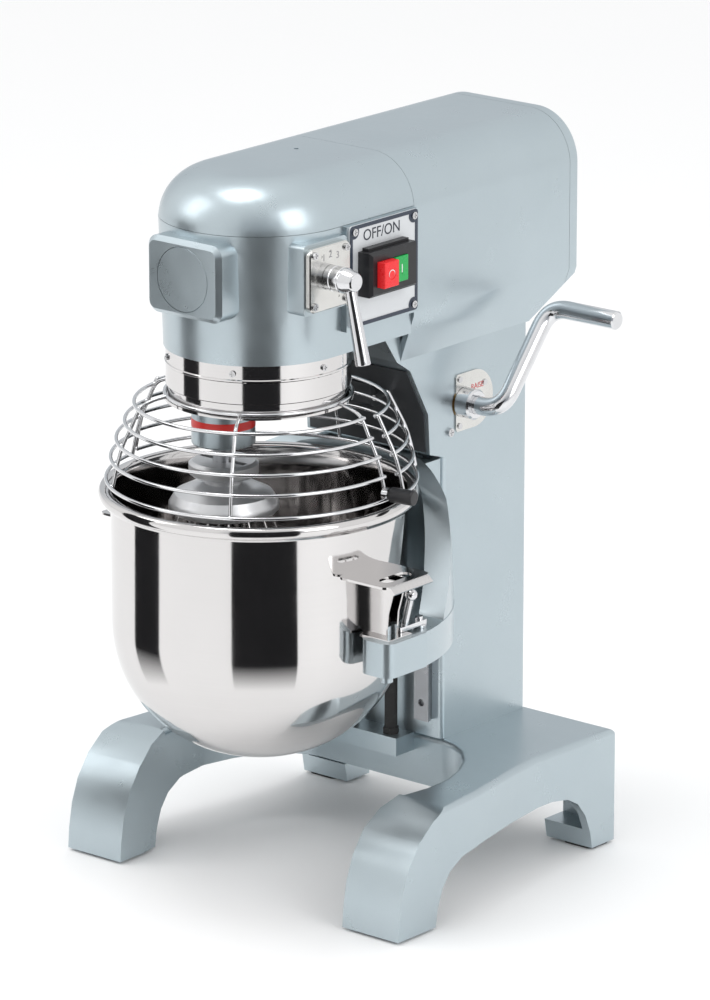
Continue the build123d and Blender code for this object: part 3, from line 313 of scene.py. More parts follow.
@dataclass(frozen=True)
class MachinedMetal(Finish):
    """Turned or cast bare metal with tool marks and a little oil."""

    tone: Triple = (0.45, 0.46, 0.48)
    dull: float = 0.30
    marks: float = 900.0

    def fixed(self) -> dict[str, object]:
        """Bare metal."""
        return {"Metallic": 1.0}

    def varied(self, graph: Graph) -> dict[str, Wire]:
        """Tool marks and a patchy film of oil."""
        marks = graph.noise(self.marks, 2.0)
        film = graph.noise(35.0, 4.0)
        darker = tuple(c * 0.7 for c in self.tone)
        return {
            "Base Color": graph.blend(film, darker, self.tone),
            "Roughness": spread(film, self.dull - 0.08, self.dull + 0.12) + marks * 0.06,
            "Normal": graph.bump(marks, 0.00008, 0.5),
        }


@dataclass(frozen=True)
class Moulding(Finish):
    """Moulded plastic or rubber with a fine grain and a few scuffs."""

    tone: Triple = (0.012, 0.012, 0.014)
    worn: Triple = (0.05, 0.05, 0.055)
    dull: float = 0.28
    grain: float = 1200.0
    depth: float = 0.00005

    def fixed(self) -> dict[str, object]:
        """An ordinary dielectric."""
        return {"Metallic": 0.0, "IOR": 1.5}

    def varied(self, graph: Graph) -> dict[str, Wire]:
        """Grain, faint scuffs and handling gloss."""
        grain = graph.noise(self.grain, 3.0)
        scuff = graph.noise(70.0, 6.0, 0.7)
        mask = ((scuff - 0.56) * 5.0).clamped() * 0.5
        return {
            "Base Color": graph.blend(mask, self.tone, self.worn),
            "Roughness": spread(scuff, self.dull, self.dull + 0.14) + grain * 0.05,
            "Normal": graph.bump(grain, self.depth, 0.6),
        }


@dataclass(frozen=True)
class PrintedSheet(Finish):
    """Screen-printed or painted thin sheet, satin, with rubbed patches."""

    tone: Triple = (0.60, 0.62, 0.64)
    rubbed: Triple = (0.68, 0.70, 0.72)
    metal: float = 0.25
    dull: float = 0.34

    def fixed(self) -> dict[str, object]:
        """Partly metallic ink."""
        return {"Metallic": self.metal}

    def varied(self, graph: Graph) -> dict[str, Wire]:
        """Rubbed patches and a brushed grain under the ink."""
        rub = graph.noise(45.0, 4.0)
        grain = graph.noise(1.0, 2.0, 0.5, graph.places((40.0, 40.0, 2600.0)))
        return {
            "Base Color": graph.blend(rub, self.tone, self.rubbed),
            "Roughness": spread(rub, self.dull - 0.06, self.dull + 0.10) + grain * 0.05,
            "Normal": graph.bump(grain, 0.00003, 0.4),
        }


class Coat(Enum):
    """Every finish on the machine."""

    CASTING = SilverPaint("silver_stoved_paint")
    STAINLESS = SpunStainless("polished_stainless")
    CHROME = BrightPlate("bright_chrome")
    NICKEL = BrightPlate("satin_nickel", (0.74, 0.735, 0.71), 0.16, 900.0)
    ZINC = BrightPlate("zinc_screws", (0.66, 0.66, 0.67), 0.14, 1500.0)
    STEEL = MachinedMetal("machined_steel")
    BRONZE = MachinedMetal("bearing_bronze", (0.55, 0.38, 0.17), 0.32)
    COPPER = MachinedMetal("wound_copper", (0.50, 0.22, 0.10), 0.35, 500.0)
    ALUMINIUM = MachinedMetal("cast_aluminium", (0.66, 0.67, 0.68), 0.26, 260.0)
    BLACK = Moulding("gloss_black_moulding")
    RUBBER = Moulding("black_rubber", (0.02, 0.02, 0.02), (0.07, 0.07, 0.07), 0.6, 700.0, 0.00012)
    RED = Moulding("red_key", (0.78, 0.018, 0.022), (0.86, 0.10, 0.09), 0.2, 600.0, 0.00002)
    GREEN = Moulding("green_key", (0.008, 0.36, 0.075), (0.05, 0.48, 0.16), 0.2, 600.0, 0.00002)
    PANEL = PrintedSheet("printed_grey_sheet")
    BORDER = PrintedSheet("printed_dark_border", (0.018, 0.028, 0.05), (0.04, 0.05, 0.075), 0.0, 0.38)
    SHEET = PrintedSheet("dark_painted_sheet", (0.035, 0.038, 0.042), (0.06, 0.065, 0.07), 0.1, 0.40)
    MARK = PrintedSheet("red_enamel", (0.72, 0.012, 0.010), (0.80, 0.05, 0.04), 0.0, 0.28)
    INK = PrintedSheet("dark_ink", (0.016, 0.022, 0.035), (0.03, 0.035, 0.05), 0.0, 0.45)
    WHITE_INK = PrintedSheet("white_ink", (0.82, 0.82, 0.82), (0.88, 0.88, 0.88), 0.0, 0.4)
    GREY_INK = PrintedSheet("grey_ink", (0.26, 0.26, 0.27), (0.36, 0.36, 0.37), 0.0, 0.4)
    RED_INK = PrintedSheet("red_ink", (0.62, 0.06, 0.07), (0.70, 0.14, 0.14), 0.0, 0.4)
    SEAL = Moulding("oil_seal", (0.03, 0.028, 0.026), (0.08, 0.075, 0.07), 0.42, 900.0)


SLOT_COATS: dict[str, Coat] = {
    "casting": Coat.CASTING, "stainless": Coat.STAINLESS, "chrome": Coat.CHROME, "steel": Coat.STEEL,
    "screw": Coat.ZINC, "rubber": Coat.RUBBER, "bronze": Coat.BRONZE, "copper": Coat.COPPER,
    "black_plastic": Coat.BLACK, "red_plastic": Coat.RED, "green_plastic": Coat.GREEN,
    "panel_grey": Coat.PANEL, "border_black": Coat.BORDER, "dark_sheet": Coat.SHEET,
    "red_mark": Coat.MARK, "plated": Coat.NICKEL, "cast_aluminium": Coat.ALUMINIUM,
}


# ---- making pieces -----------------------------------------------------------------------------
def piece_from(mesh: bpy.types.Mesh, name: str, coat: Coat, body: str) -> bpy.types.Object:
    """Puts a finished mesh into the scene.

    Args:
        mesh: The mesh, already in its place.
        name: The piece's name.
        coat: Its finish.
        body: The body it moves with.

    Returns:
        The object.
    """
    mesh.name = name
    mesh.materials.clear()
    mesh.materials.append(coat.value.material())
    made = bpy.data.objects.new(name, mesh)
    bpy.context.scene.collection.objects.link(made)
    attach(made, body)
    LOG.info("%s: %d faces on %s", name, len(mesh.polygons), body)
    return made


def evaluated(holder: bpy.types.Object) -> bpy.types.Mesh:
    """A holder's finished shape as a plain mesh, after which the holder is dropped."""
    graph = bpy.context.evaluated_depsgraph_get()
    mesh = bpy.data.meshes.new_from_object(holder.evaluated_get(graph))
    holder.modifiers.clear()
    bpy.data.objects.remove(holder)
    return mesh


def lettering(words: str, height: float, depth: float, place: Matrix) -> bpy.types.Mesh:
    """Raised letters as a mesh.

    Args:
        words: The text.
        height: The letters' size.
        depth: How thick they are.
        place: Where the middle of the text goes, with its own X along the line.

    Returns:
        The mesh, in place.
    """
    curve = bpy.data.curves.new("letters", "FONT")
    curve.body = words
    curve.size = height
    curve.extrude = depth / 2
    curve.align_x = "CENTER"
    curve.align_y = "CENTER"
    holder = bpy.data.objects.new("letters", curve)
    bpy.context.scene.collection.objects.link(holder)
    mesh = evaluated(holder)
    mesh.transform(place)
    return mesh


def facing_right(x: float, y: float, z: float) -> Matrix:
    """A place on a face that looks along +X, with text running along +Y."""
    basis = Matrix(((0, 0, 1, 0), (1, 0, 0, 0), (0, 1, 0, 0), (0, 0, 0, 1)))
    return Matrix.Translation((x, y, z)) @ basis


def round_about(centre: tuple[float, float], radius: float, degrees: float, height: float) -> Triple:
    """A point at a plan angle about an upright axis."""
    turn = math.radians(degrees)
    return (centre[0] + radius * math.cos(turn), centre[1] + radius * math.sin(turn), height)


@dataclass
class Lines:
    """Open and closed runs of points, which a maker follows."""

    points: list[Triple] = field(default_factory=list)
    edges: list[tuple[int, int]] = field(default_factory=list)

    def add(self, run: Sequence[Triple], closed: bool = False) -> "Lines":
        """Adds a run of points, joined in order.

        Args:
            run: The points.
            closed: True if the last joins the first.

        Returns:
            The same lines.
        """
        first = len(self.points)
        self.points.extend(run)
        self.edges.extend((first + k, first + k + 1) for k in range(len(run) - 1))
        if closed:
            self.edges.append((first + len(run) - 1, first))
        return self


@dataclass
class Maker:
    """A geometry-nodes tree with named sizes, which is run on points or lines to give a plain mesh."""

    name: str
    coat: Coat

    def sizes(self) -> dict[str, float | int]:
        """The tree's named inputs and their values."""
        raise NotImplementedError

    def shape(self, graph: Graph, source: Wire, size: dict[str, Wire]) -> Wire:
        """Lays out the tree between its input and its closing nodes.

        Args:
            graph: The tree to fill.
            source: The points or lines.
            size: The named inputs.

        Returns:
            The geometry.
        """
        raise NotImplementedError

    def tree(self) -> bpy.types.GeometryNodeTree:
        """Builds the tree, which ends in Realize Instances and Set Material."""
        made = bpy.data.node_groups.new(self.name, "GeometryNodeTree")
        kinds = {float: "NodeSocketFloat", int: "NodeSocketInt"}
        made.interface.new_socket("Geometry", in_out="INPUT", socket_type="NodeSocketGeometry")
        for label, value in self.sizes().items():
            made.interface.new_socket(label, in_out="INPUT", socket_type=kinds[type(value)])
        made.interface.new_socket("Geometry", in_out="OUTPUT", socket_type="NodeSocketGeometry")
        graph = Graph(made)
        source = graph.node("NodeGroupInput")
        size = {label: Wire(graph, source.socket.node.outputs[label]) for label in self.sizes()}
        real = graph.node("GeometryNodeRealizeInstances", {}, {0: self.shape(graph, source, size)})
        dressed = graph.node("GeometryNodeSetMaterial", {},
                             {"Geometry": real, "Material": self.coat.value.material()})
        graph.node("NodeGroupOutput", {}, {0: dressed})
        return made

    def mesh(self, lines: Lines) -> bpy.types.Mesh:
        """Runs the tree on some points or lines.

        Args:
            lines: What the tree follows.

        Returns:
            The plain mesh.
        """
        guide = bpy.data.meshes.new(self.name)
        guide.from_pydata(lines.points, lines.edges, [])
        holder = bpy.data.objects.new(self.name + "_guide", guide)
        bpy.context.scene.collection.objects.link(holder)
        modifier = holder.modifiers.new("make", "NODES")
        modifier.node_group = self.tree()
        wanted = self.sizes()
        for item in modifier.node_group.interface.items_tree:
            if item.in_out == "INPUT" and item.name in wanted:
                modifier[item.identifier] = wanted[item.name]
        return evaluated(holder)

    def piece(self, lines: Lines, body: str, slot: str) -> bpy.types.Object:
        """Makes a finished piece that rides on a body."""
        return piece_from(self.mesh(lines), self.name, self.coat, body)


class Fitting(Enum):
    """Small shapes that are repeated on points."""

    BEAD = "GeometryNodeMeshIcoSphere"
    BARREL = "GeometryNodeMeshCylinder"


@dataclass
class Studs(Maker):
    """One small shape on every point."""

    fitting: Fitting = Fitting.BEAD
    radius: float = 0.002
    length: float = 0.001

    def sizes(self) -> dict[str, float | int]:
        """Radius and length."""
        return {"Radius": self.radius, "Length": self.length}

    def shape(self, graph: Graph, source: Wire, size: dict[str, Wire]) -> Wire:
        """Instances the fitting on the points."""
        if self.fitting is Fitting.BEAD:
            values: dict[int | str, object] = {"Radius": size["Radius"], "Subdivisions": 2}
        else:
            values = {"Radius": size["Radius"], "Depth": size["Length"], "Vertices": 20}
        one = graph.node(self.fitting.value, {}, values)
        smooth = graph.node("GeometryNodeSetShadeSmooth", {},
                            {"Geometry": one, "Shade Smooth": self.fitting is Fitting.BEAD})
        return graph.node("GeometryNodeInstanceOnPoints", {}, {"Points": source, "Instance": smooth})


@dataclass
class Wires(Maker):
    """Round wire bent smoothly through each run of points."""

    radius: float = 0.002
    sides: int = 14
    steps: int = 5

    def sizes(self) -> dict[str, float | int]:
        """Wire radius, sides of the wire and steps between points."""
        return {"Wire Radius": self.radius, "Sides": self.sides, "Steps": self.steps}

    def shape(self, graph: Graph, source: Wire, size: dict[str, Wire]) -> Wire:
        """Sweeps a circle along smooth curves."""
        lines = graph.node("GeometryNodeMeshToCurve", {}, {0: source})
        bent = graph.node("GeometryNodeCurveSplineType", {"spline_type": "CATMULL_ROM"}, {0: lines})
        fine = graph.node("GeometryNodeSetSplineResolution", {}, {0: bent, "Resolution": size["Steps"]})
        section = graph.node("GeometryNodeCurvePrimitiveCircle", {},
                             {"Resolution": size["Sides"], "Radius": size["Wire Radius"]})
        swept = graph.node("GeometryNodeCurveToMesh", {},
                           {"Curve": fine, "Profile Curve": section, "Fill Caps": True})
        return graph.node("GeometryNodeSetShadeSmooth", {}, {"Geometry": swept, "Shade Smooth": True})


@dataclass
class Turned(Maker):
    """A closed outline turned about an upright axis."""

    middle: float = 0.1
    steps: int = 96
    sharp: float = 0.6

    def sizes(self) -> dict[str, float | int]:
        """The middle radius, steps round and the angle over which an edge is sharp."""
        return {"Middle Radius": self.middle, "Steps": self.steps, "Sharp Angle": self.sharp}

    def shape(self, graph: Graph, source: Wire, size: dict[str, Wire]) -> Wire:
        """Sweeps the outline round a circle and keeps its sharp edges."""
        lines = graph.node("GeometryNodeMeshToCurve", {}, {0: source})
        circle = graph.node("GeometryNodeCurvePrimitiveCircle", {},
                            {"Resolution": size["Steps"], "Radius": size["Middle Radius"]})
        swept = graph.node("GeometryNodeCurveToMesh", {}, {"Curve": circle, "Profile Curve": lines})
        closed = graph.node("GeometryNodeMergeByDistance", {}, {"Geometry": swept, "Distance": 0.000005})
        return smoothed(graph, closed, size["Sharp Angle"])

    def about(self, outline: Sequence[tuple[float, float]], centre: tuple[float, float]) -> bpy.types.Mesh:
        """Turns an outline about an axis.

        Args:
            outline: (radius, height) points, in order.
            centre: The axis's place in plan.

        Returns:
            The mesh, with its faces outwards.
        """
        mesh = self.mesh(Lines().add([(r - self.middle, -h, 0.0) for r, h in outline], closed=True))
        mesh.transform(Matrix.Translation((*centre, 0.0)))
        work = bmesh.new()
        work.from_mesh(mesh)
        bmesh.ops.recalc_face_normals(work, faces=work.faces)
        work.to_mesh(mesh)
        work.free()
        return mesh


def joined(meshes: Sequence[bpy.types.Mesh]) -> bpy.types.Mesh:
    """Several meshes as one."""
    work = bmesh.new()
    for mesh in meshes:
        work.from_mesh(mesh)
    made = bpy.data.meshes.new("joined")
    work.to_mesh(made)
    work.free()
    return made


def smoothed(graph: Graph, source: Wire, angle: Wire | float) -> Wire:
    """Smooth shading that stops at edges over an angle.

    Args:
        graph: The tree.
        source: The geometry, already joined.
        angle: The angle in radians.

    Returns:
        The shaded geometry.
    """
    turn = graph.node("GeometryNodeInputMeshEdgeAngle")
    flat = graph.node("FunctionNodeCompare", {"data_type": "FLOAT", "operation": "LESS_EQUAL"},
                      {0: turn, 1: angle})
    faces = graph.node("GeometryNodeSetShadeSmooth", {"domain": "FACE"},
                       {"Geometry": source, "Shade Smooth": True})
    return graph.node("GeometryNodeSetShadeSmooth", {"domain": "EDGE"},
                      {"Geometry": faces, "Shade Smooth": flat})


# ---- sub-assemblies ----------------------------------------------------------------------------
@dataclass
class PackedNodes:
    """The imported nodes, which keep their shapes and get their finishes and smooth shading."""

    nodes: dict[str, bpy.types.Object]
    record: dict[str, object]
    sharp: float = math.radians(32)

    def shading(self) -> bpy.types.GeometryNodeTree:
        """A tree that joins a node's loose faces and shades them up to its sharp edges."""
        made = bpy.data.node_groups.new("joined_shading", "GeometryNodeTree")
        for way in ("INPUT", "OUTPUT"):
            made.interface.new_socket("Geometry", in_out=way, socket_type="NodeSocketGeometry")
        graph = Graph(made)
        plain = graph.node("GeometryNodeRemoveAttribute", {},
                           {"Geometry": graph.node("NodeGroupInput"), "Name": "custom_normal"})
        closed = graph.node("GeometryNodeMergeByDistance", {}, {"Geometry": plain, "Distance": 0.000002})
        graph.node("NodeGroupOutput", {}, {0: smoothed(graph, closed, self.sharp)})
        return made

    def dress(self) -> None:
        """Gives each node the finish of its record slot and the joined shading."""
        shading = self.shading()
        for entry in self.record["subparts"]:
            node = self.nodes[entry["node"]]
            material = SLOT_COATS[entry["material_slot"]].value.material()
            if not node.material_slots:
                node.data.materials.append(material)
            for place in node.material_slots:
                place.material = material
            node.modifiers.new("joined_shading", "NODES").node_group = shading
        LOG.info("%d packed nodes dressed", len(self.nodes))


@dataclass
class SwitchPanel:
    """Printed words on the switch panel, and the legends of its two keys."""

    words: str = "OFF/ON"
    height: float = 0.0165
    ink: float = 0.00025
    legend: float = 0.013
    legend_depth: float = 0.0004
    sunk: float = 0.0003

    def build(self) -> None:
        """Prints the panel's word and the two legends."""
        low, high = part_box("switch_plate")
        spot = facing_right(high[0] + self.ink / 2, (low[1] + high[1]) / 2 - 0.0035, high[2] - 0.0135)
        piece_from(lettering(self.words, self.height, self.ink, spot), "switch_words", Coat.INK, "frame")
        for node, word, body, slot in (
            ("red_button", "O", "stop_button", "red_plastic"),
            ("green_button", "I", "start_button", "green_plastic"),
        ):
            low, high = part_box(node)
            spot = facing_right(high[0] - self.sunk, (low[1] + high[1]) / 2, (low[2] + high[2]) / 2)
            piece_from(lettering(word, self.legend, self.legend_depth, spot), node + "_legend",
                       Coat.WHITE_INK, body)


@dataclass
class SpeedPanel:
    """Position numbers on the speed plate, on an arc over the lever's hub."""

    radius: float = 0.0245
    height: float = 0.0105
    ink: float = 0.0002
    hub: tuple[float, float] = (-0.176, 0.691)
    numbers: tuple[tuple[str, float], ...] = (("1", 115.0), ("2", 90.0), ("3", 62.0))

    def build(self) -> None:
        """Prints the position numbers."""
        _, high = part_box("speed_plate")
        for word, angle in self.numbers:
            turn = math.radians(angle)
            spot = facing_right(high[0] + self.ink / 2, self.hub[0] + self.radius * math.cos(turn),
                                self.hub[1] + self.radius * math.sin(turn))
            piece_from(lettering(word, self.height, self.ink, spot), "speed_number_" + word,
                       Coat.GREY_INK, "frame")


@dataclass
class LiftPlate:
    """The printed word on the small plate at the crank."""

    word: str = "RAISE"
    height: float = 0.0085
    ink: float = 0.0002

    def build(self) -> None:
        """Prints the word."""
        _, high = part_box("lift_plate")
        spot = facing_right(high[0] + self.ink / 2, high[1] - 0.0265, high[2] - 0.0185)
        piece_from(lettering(self.word, self.height, self.ink, spot), "lift_word", Coat.RED_INK, "frame")


@dataclass
class CrankCollar:
    """The chrome collar on the crank's shaft, in front of the bush in the column's side."""

    inner: float = 0.01015
    outer: float = 0.0165
    reach: float = 0.0175
    clear: float = 0.0004
    shaft: tuple[float, float] = (0.077, 0.5)

    def build(self) -> None:
        """Turns the collar and lays it on the crank's level shaft."""
        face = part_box("lift_plate")[1][0] + self.clear
        outline = [(self.inner, 0.0), (self.outer, 0.0), (self.outer, self.reach - 0.0022),
                   (self.outer - 0.0018, self.reach), (self.inner, self.reach)]
        mesh = Turned("crank_collar", Coat.CHROME, 0.013, 56).about(outline, (0.0, 0.0))
        mesh.transform(Matrix.Translation((face, *self.shaft)) @ Matrix.Rotation(math.pi / 2, 4, "Y"))
        piece_from(mesh, "crank_collar", Coat.CHROME, "crank")


@dataclass
class WireGuard:
    """Both halves of the wire guard, with their welds, the knob's pin and the stand-offs."""

    wire: float = 0.002
    rod: float = 0.003
    knob: tuple[float, float] = (7.5, 0.4595)
    stand_off: tuple[float, float] = (0.040, 0.516)
    bead: float = 0.0027
    inside: float = 0.0032
    rear_gap: float = 0.006
    top: tuple[float, float] = (0.098, 0.547)
    rings: tuple[tuple[float, float], ...] = ((0.130, 0.536), (0.140, 0.516), (0.149, 0.497),
                                              (0.155, 0.477), (0.160, 0.454))
    front: tuple[float, ...] = (-170.5, -125.0, -60.0, 7.5)
    rear: tuple[float, ...] = (13.5, 54.0, 100.0, 140.0, 181.5)

    def arc(self, radius: float, height: float, start: float, sweep: float) -> list[Triple]:
        """Points along a level arc about the planetary axis, five degrees apart or less."""
        steps = max(2, math.ceil(abs(sweep) / 5))
        return [round_about(AXIS, radius, start + sweep * k / steps, height) for k in range(steps + 1)]

    def upright(self, angle: float, offset: float) -> list[Triple]:
        """Points down an upright wire that touches the rings on one side."""
        return [round_about(AXIS, radius + offset, angle, height) for radius, height in self.rings]

    def front_half(self) -> None:
        """The opening half: its full top ring, five arcs, four uprights and the knob's pin."""
        lines = Lines().add(self.arc(*self.top, 0.0, 360.0)[:-1], closed=True)
        for radius, height in self.rings:
            lines.add(self.arc(radius, height, -171.0, 179.0))
        for angle in self.front:
            head = [round_about(AXIS, 0.0995, angle, self.top[1]), round_about(AXIS, 0.114, angle, 0.5435)]
            lines.add(head + self.upright(angle, -self.inside))
        parts = [Wires("guard_front_wires", Coat.CHROME, self.wire).mesh(lines)]
        for name, thick, sides, reach in (("guard_knob_pin", self.rod, 14, (0.161, 0.173, 0.185)),
                                          ("guard_knob_collar", 0.0065, 32, (0.155, 0.1585, 0.162))):
            run = [round_about(AXIS, radius, *self.knob) for radius in reach]
            parts.append(Wires(name, Coat.CHROME, thick, sides).mesh(Lines().add(run)))
        piece = piece_from(joined(parts), "guard_front_wires", Coat.CHROME, "front_guard")
        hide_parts("guard_front")

    def rear_half(self) -> None:
        """The fixed half: five arcs, five uprights and two stand-offs."""
        lines = Lines()
        for radius, height in self.rings:
            lines.add(self.arc(radius + self.rear_gap, height, 13.0, 169.0))
        for angle in self.rear:
            lines.add(self.upright(angle, self.rear_gap + self.inside))
        made = Wires("guard_rear_wires", Coat.CHROME, self.wire).mesh(lines)
        rods = Lines()
        out, height = self.stand_off
        for x in (-out, out):
            rods.add([(x, y, height) for y in (-0.0165, -0.005, 0.007)])
        stands = Wires("guard_stand_offs", Coat.CHROME, self.rod).mesh(rods)
        piece = piece_from(joined([made, stands]), "guard_rear_wires", Coat.CHROME, "frame")
        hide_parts("guard_rear")

    def welds(self) -> None:
        """A weld bead wherever an upright crosses a ring."""
        for name, angles, ring, offset, body in (
            ("front_guard_welds", self.front, 0.0, -self.inside / 2, "front_guard"),
            ("rear_guard_welds", self.rear, self.rear_gap, self.inside / 2, "frame"),
        ):
            spots = [round_about(AXIS, radius + ring + offset, angle, height)
                     for angle in angles for radius, height in self.rings]
            Studs(name, Coat.CHROME, Fitting.BEAD, self.bead).piece(Lines(spots), body, "chrome")

    def build(self) -> None:
        """Makes both halves and their welds."""
        self.front_half()
        self.rear_half()
        self.welds()


@dataclass
class Whisk:
    """The whisk's wires with their ferrules, and the seal above its shaft."""

    loops: int = 7
    wire: float = 0.0015
    lowest: float = 0.178
    nest: float = 0.0036
    start: float = 8.0
    half: tuple[tuple[float, float], ...] = ((0.046, 0.416), (0.052, 0.400), (0.068, 0.360),
                                             (0.082, 0.300), (0.080, 0.250), (0.064, 0.210))

    def loop(self, number: int) -> list[Triple]:
        """Points along one loop of wire, from side to side."""
        low = self.lowest + self.nest * number
        side = [*self.half, (0.036, low + 0.007)]
        across = [*side, (0.0, low), *((-r, z) for r, z in reversed(side))]
        return [round_about(AGITATOR, r, 180 / self.loops * number + self.start, z) for r, z in across]

    def build(self) -> None:
        """Makes the wires, the ferrules and the oil seal."""
        lines = Lines()
        for number in range(self.loops):
            lines.add(self.loop(number))
        wires = Wires("whisk_loops", Coat.STAINLESS, self.wire, 12, 12).piece(lines, "agitator", "stainless")
        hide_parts("whisk_wires")
        base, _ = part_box("whisk_hub")
        spots = [round_about(AGITATOR, 0.0468, 180 / self.loops * n + self.start + side, base[2] - 0.0010)
                 for n in range(self.loops) for side in (0, 180)]
        Studs("whisk_ferrules", Coat.STAINLESS, Fitting.BARREL, 0.0030, 0.0040).piece(
            Lines(spots), "agitator", "stainless")
        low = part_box("planetary_head")[0][2]
        outline = [(0.0119, low - 0.0025), (0.0150, low - 0.0032), (0.0205, low - 0.0030),
                   (0.0225, low - 0.0016), (0.0232, low + 0.0002), (0.0119, low + 0.0002)]
        seal = Turned("shaft_seal", Coat.SEAL, 0.017, 72)
        piece_from(seal.about(outline, AGITATOR), "shaft_seal", Coat.SEAL, "planetary")


@dataclass
class Bowl:
    """The mixing bowl: a rounded pan whose sides run up to a rolled rim."""

    radius: float = 0.1558
    straight: float = 0.3021
    depth: float = 0.1486
    power: float = 2.09
    sheet: float = 0.0018
    ribs: int = 40
    roll: float = 0.0042
    roll_radius: float = 0.1641
    neck: float = 0.4150

    def pan(self, shrink: float) -> list[tuple[float, float]]:
        """The rounded bottom from its middle out, as (radius, height) points."""
        found: list[tuple[float, float]] = []
        for k in range(self.ribs + 1):
            turn = math.pi / 2 * k / self.ribs
            across = (self.radius - shrink) * math.sin(turn) ** (2 / self.power)
            down = (self.depth - shrink) * max(0.0, math.cos(turn)) ** (2 / self.power)
            found.append((across, self.straight - down))
        return found

    def rim(self) -> list[tuple[float, float]]:
        """The flared neck and the rolled rim, from the outer wall over to the inner wall."""
        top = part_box("bowl")[1][2]
        inner = self.radius - self.sheet
        neck = [(self.radius, self.neck), (self.radius, 0.4290), (0.1588, 0.4303), (0.1640, 0.4306)]
        turns = [math.radians(angle) for angle in range(-70, 100, 10)]
        over = [(self.roll_radius + self.roll * math.cos(turn),
                 top - 0.0062 + self.roll * 1.45 * math.sin(turn)) for turn in turns]
        return [*neck, *over, (0.1592, top - 0.0006), (0.1556, top - 0.0022), (inner, top - 0.0060),
                (inner, self.neck)]

    def build(self) -> None:
        """Turns the bowl as one shell."""
        outline = [*self.pan(0.0), *self.rim(), *reversed(self.pan(self.sheet))]
        mesh = Turned("bowl_shell", Coat.STAINLESS, 0.1, 160).about(outline, AXIS)
        shell = piece_from(mesh, "bowl_shell", Coat.STAINLESS, "carriage")
        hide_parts("bowl")


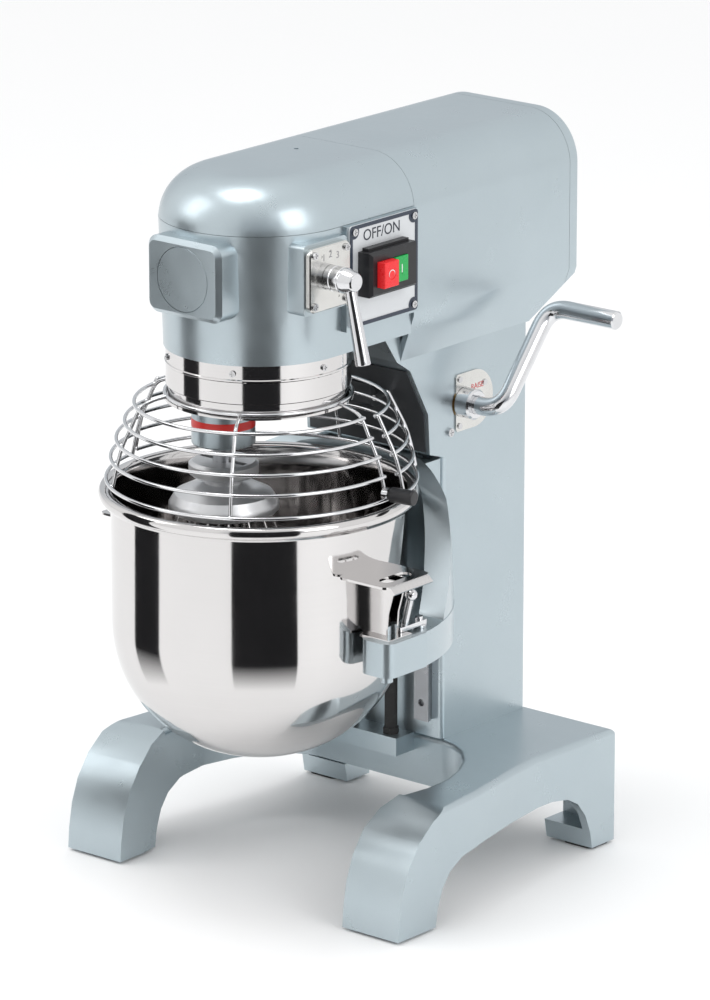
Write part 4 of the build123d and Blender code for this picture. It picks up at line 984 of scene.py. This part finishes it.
# ---- studio ------------------------------------------------------------------------------------
@dataclass
class Studio:
    """Camera, floor, soft lights and the bright surroundings that polished metal reflects."""

    azimuth: float = 39.994
    elevation: float = 16.398
    distance: float = 6.7735
    target: Triple = (0.0, 0.0, 0.39236)
    lens: float = 228.44
    sensor: float = 36.0
    far: float = 60.0
    floor_reach: float = 14.0
    room: float = 1.0
    card_foot: float = 0.42
    card_head: float = 0.80
    cards: tuple[tuple[str, float, float, float], ...] = (
        ("front_card", -67.5, -24.0, 0.80), ("left_card", -148.0, -122.0, 0.80),
        ("back_card", 126.0, 140.0, 0.60),
    )
    lamps: tuple[tuple[str, Triple, Triple, tuple[float, float], float], ...] = (
        ("left_lamp", (-2.4, -2.2, 2.6), (0.0, -0.1, 0.4), (1.6, 2.2), 18.0),
        ("right_lamp", (3.2, -0.4, 2.2), (0.0, 0.0, 0.4), (1.6, 2.4), 26.0),
        ("top_lamp", (-0.4, -0.6, 3.6), (0.0, 0.0, 0.4), (1.2, 1.2), 22.0),
    )

    def camera(self) -> None:
        """Sets the camera at the viewing angle."""
        side, up = math.radians(self.azimuth), math.radians(self.elevation)
        back = Vector((math.sin(side) * math.cos(up), -math.cos(side) * math.cos(up), math.sin(up)))
        data = bpy.data.cameras.new("studio_camera")
        data.lens = self.lens
        data.sensor_width = self.sensor
        data.sensor_fit = "AUTO"
        data.clip_end = self.far
        made = bpy.data.objects.new("studio_camera", data)
        made.location = Vector(self.target) + back * self.distance
        made.rotation_euler = back.to_track_quat("Z", "Y").to_euler()
        bpy.context.scene.collection.objects.link(made)
        bpy.context.scene.camera = made

    def floor(self) -> None:
        """A plain pale floor that runs far out."""
        work = bmesh.new()
        bmesh.ops.create_grid(work, x_segments=1, y_segments=1, size=self.floor_reach)
        mesh = bpy.data.meshes.new("studio_floor")
        work.to_mesh(mesh)
        work.free()
        material = bpy.data.materials.new("pale_floor")
        material.use_nodes = True
        graph = Graph(material.node_tree)
        tone = graph.blend(graph.noise(1.3, 2.0), (0.93, 0.935, 0.94), (0.95, 0.95, 0.95))
        shader = graph.node("ShaderNodeBsdfPrincipled", {}, {"Base Color": tone, "Roughness": 0.55})
        graph.node("ShaderNodeOutputMaterial", {}, {"Surface": shader})
        mesh.materials.append(material)
        made = bpy.data.objects.new("studio_floor", mesh)
        bpy.context.scene.collection.objects.link(made)

    def lamp(self, name: str, place: Triple, aim: Triple, size: tuple[float, float], power: float) -> None:
        """One soft rectangular lamp.

        Args:
            name: Its name.
            place: Where it stands.
            aim: What it points at.
            size: Its width and height.
            power: Its power in watts.
        """
        data = bpy.data.lights.new(name, "AREA")
        data.shape = "RECTANGLE"
        data.size, data.size_y = size
        data.energy = power
        made = bpy.data.objects.new(name, data)
        made.location = place
        made.rotation_euler = (Vector(place) - Vector(aim)).to_track_quat("Z", "Y").to_euler()
        bpy.context.scene.collection.objects.link(made)

    def surroundings(self) -> None:
        """An even white room, with greyer stretches round its sides that only reflections show."""
        world = bpy.data.worlds.new("studio_world")
        bpy.context.scene.world = world
        world.use_nodes = True
        graph = Graph(world.node_tree)
        way = graph.node("ShaderNodeTexCoord", output="Generated")
        parts = graph.node("ShaderNodeSeparateXYZ", {}, {0: way}).socket.node
        x, y, z = (Wire(graph, parts.outputs[k]) for k in range(3))
        bearing = graph.node("ShaderNodeMath", {"operation": "ARCTAN2"}, {0: y, 1: x})
        turn = (bearing / (2 * math.pi) + 0.5).clamped()
        white, grey, dim = (1.0, 1.0, 1.0, 1.0), (0.62, 0.65, 0.68, 1.0), (0.36, 0.38, 0.41, 1.0)
        stops = [(0.0, white), (0.28, white), (0.33, dim), (0.43, dim), (0.48, white), (0.66, white),
                 (0.78, grey), (0.92, grey), (1.0, white)]
        around = graph.node("ShaderNodeValToRGB", {"stops": stops}, {0: turn})
        high = ((z - 0.25) * 1.6).clamped()
        colours = {"data_type": "RGBA"}
        reflected = graph.node("ShaderNodeMix", colours, {0: high, 6: around, 7: white}, output=2)
        glossy = graph.node("ShaderNodeLightPath", output="Is Glossy Ray")
        shown = graph.node("ShaderNodeMix", colours, {0: glossy, 6: white, 7: reflected}, output=2)
        surface = graph.node("ShaderNodeBackground", {}, {"Color": shown, "Strength": self.room})
        graph.node("ShaderNodeOutputWorld", {}, {"Surface": surface})

    def card(self, name: str, first: float, last: float, top: float) -> None:
        """A black card that leans out round the bowl, fades at its foot and shows only in polished metal.

        Args:
            name: Its name.
            first: The bearing of its first edge, in degrees.
            last: The bearing of its last edge.
            top: Its height.
        """
        steps = max(2, math.ceil((last - first) / 4))
        bearings = [first + (last - first) * k / steps for k in range(steps + 1)]
        edge = [round_about(AXIS, self.card_foot, bearing, 0.002) for bearing in bearings]
        upper = [round_about(AXIS, self.card_head, bearing, top) for bearing in bearings]
        faces = [(k, k + 1, steps + 2 + k, steps + 1 + k) for k in range(steps)]
        mesh = bpy.data.meshes.new(name)
        mesh.from_pydata(edge + upper, [], faces)
        material = bpy.data.materials.new(name + "_felt")
        material.use_nodes = True
        graph = Graph(material.node_tree)
        felt = graph.blend(graph.noise(90.0), (0.004, 0.004, 0.005), (0.008, 0.008, 0.010))
        shader = graph.node("ShaderNodeBsdfPrincipled", {}, {"Base Color": felt, "Roughness": 1.0})
        height = graph.node("ShaderNodeSeparateXYZ", {}, {0: graph.places()}, output="Z")
        shade = graph.node("ShaderNodeMixShader", {},
                           {0: ((height - 0.01) * 7.0).clamped(),
                            1: graph.node("ShaderNodeBsdfTransparent"), 2: shader})
        graph.node("ShaderNodeOutputMaterial", {}, {"Surface": shade})
        mesh.materials.append(material)
        made = bpy.data.objects.new(name, mesh)
        made.visible_camera = made.visible_diffuse = made.visible_shadow = made.visible_transmission = False
        bpy.context.scene.collection.objects.link(made)

    def build(self) -> None:
        """Sets up the whole studio."""
        self.camera()
        self.floor()
        self.surroundings()
        for card in self.cards:
            self.card(*card)
        for lamp in self.lamps:
            self.lamp(*lamp)
        bpy.context.scene.view_settings.view_transform = "Standard"


def main() -> None:
    """Builds the machine's looks, piece by piece, and the studio around it."""
    logging.basicConfig(level=logging.INFO, format="%(name)s: %(message)s")
    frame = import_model()
    PackedNodes(frame["nodes"], frame["record"]).dress()
    for assembly in (SwitchPanel(), SpeedPanel(), LiftPlate(), CrankCollar(), WireGuard(), Whisk(), Bowl(),
                     Studio()):
        LOG.info("building %s", type(assembly).__name__)
        assembly.build()


if __name__ == "__main__":
    main()
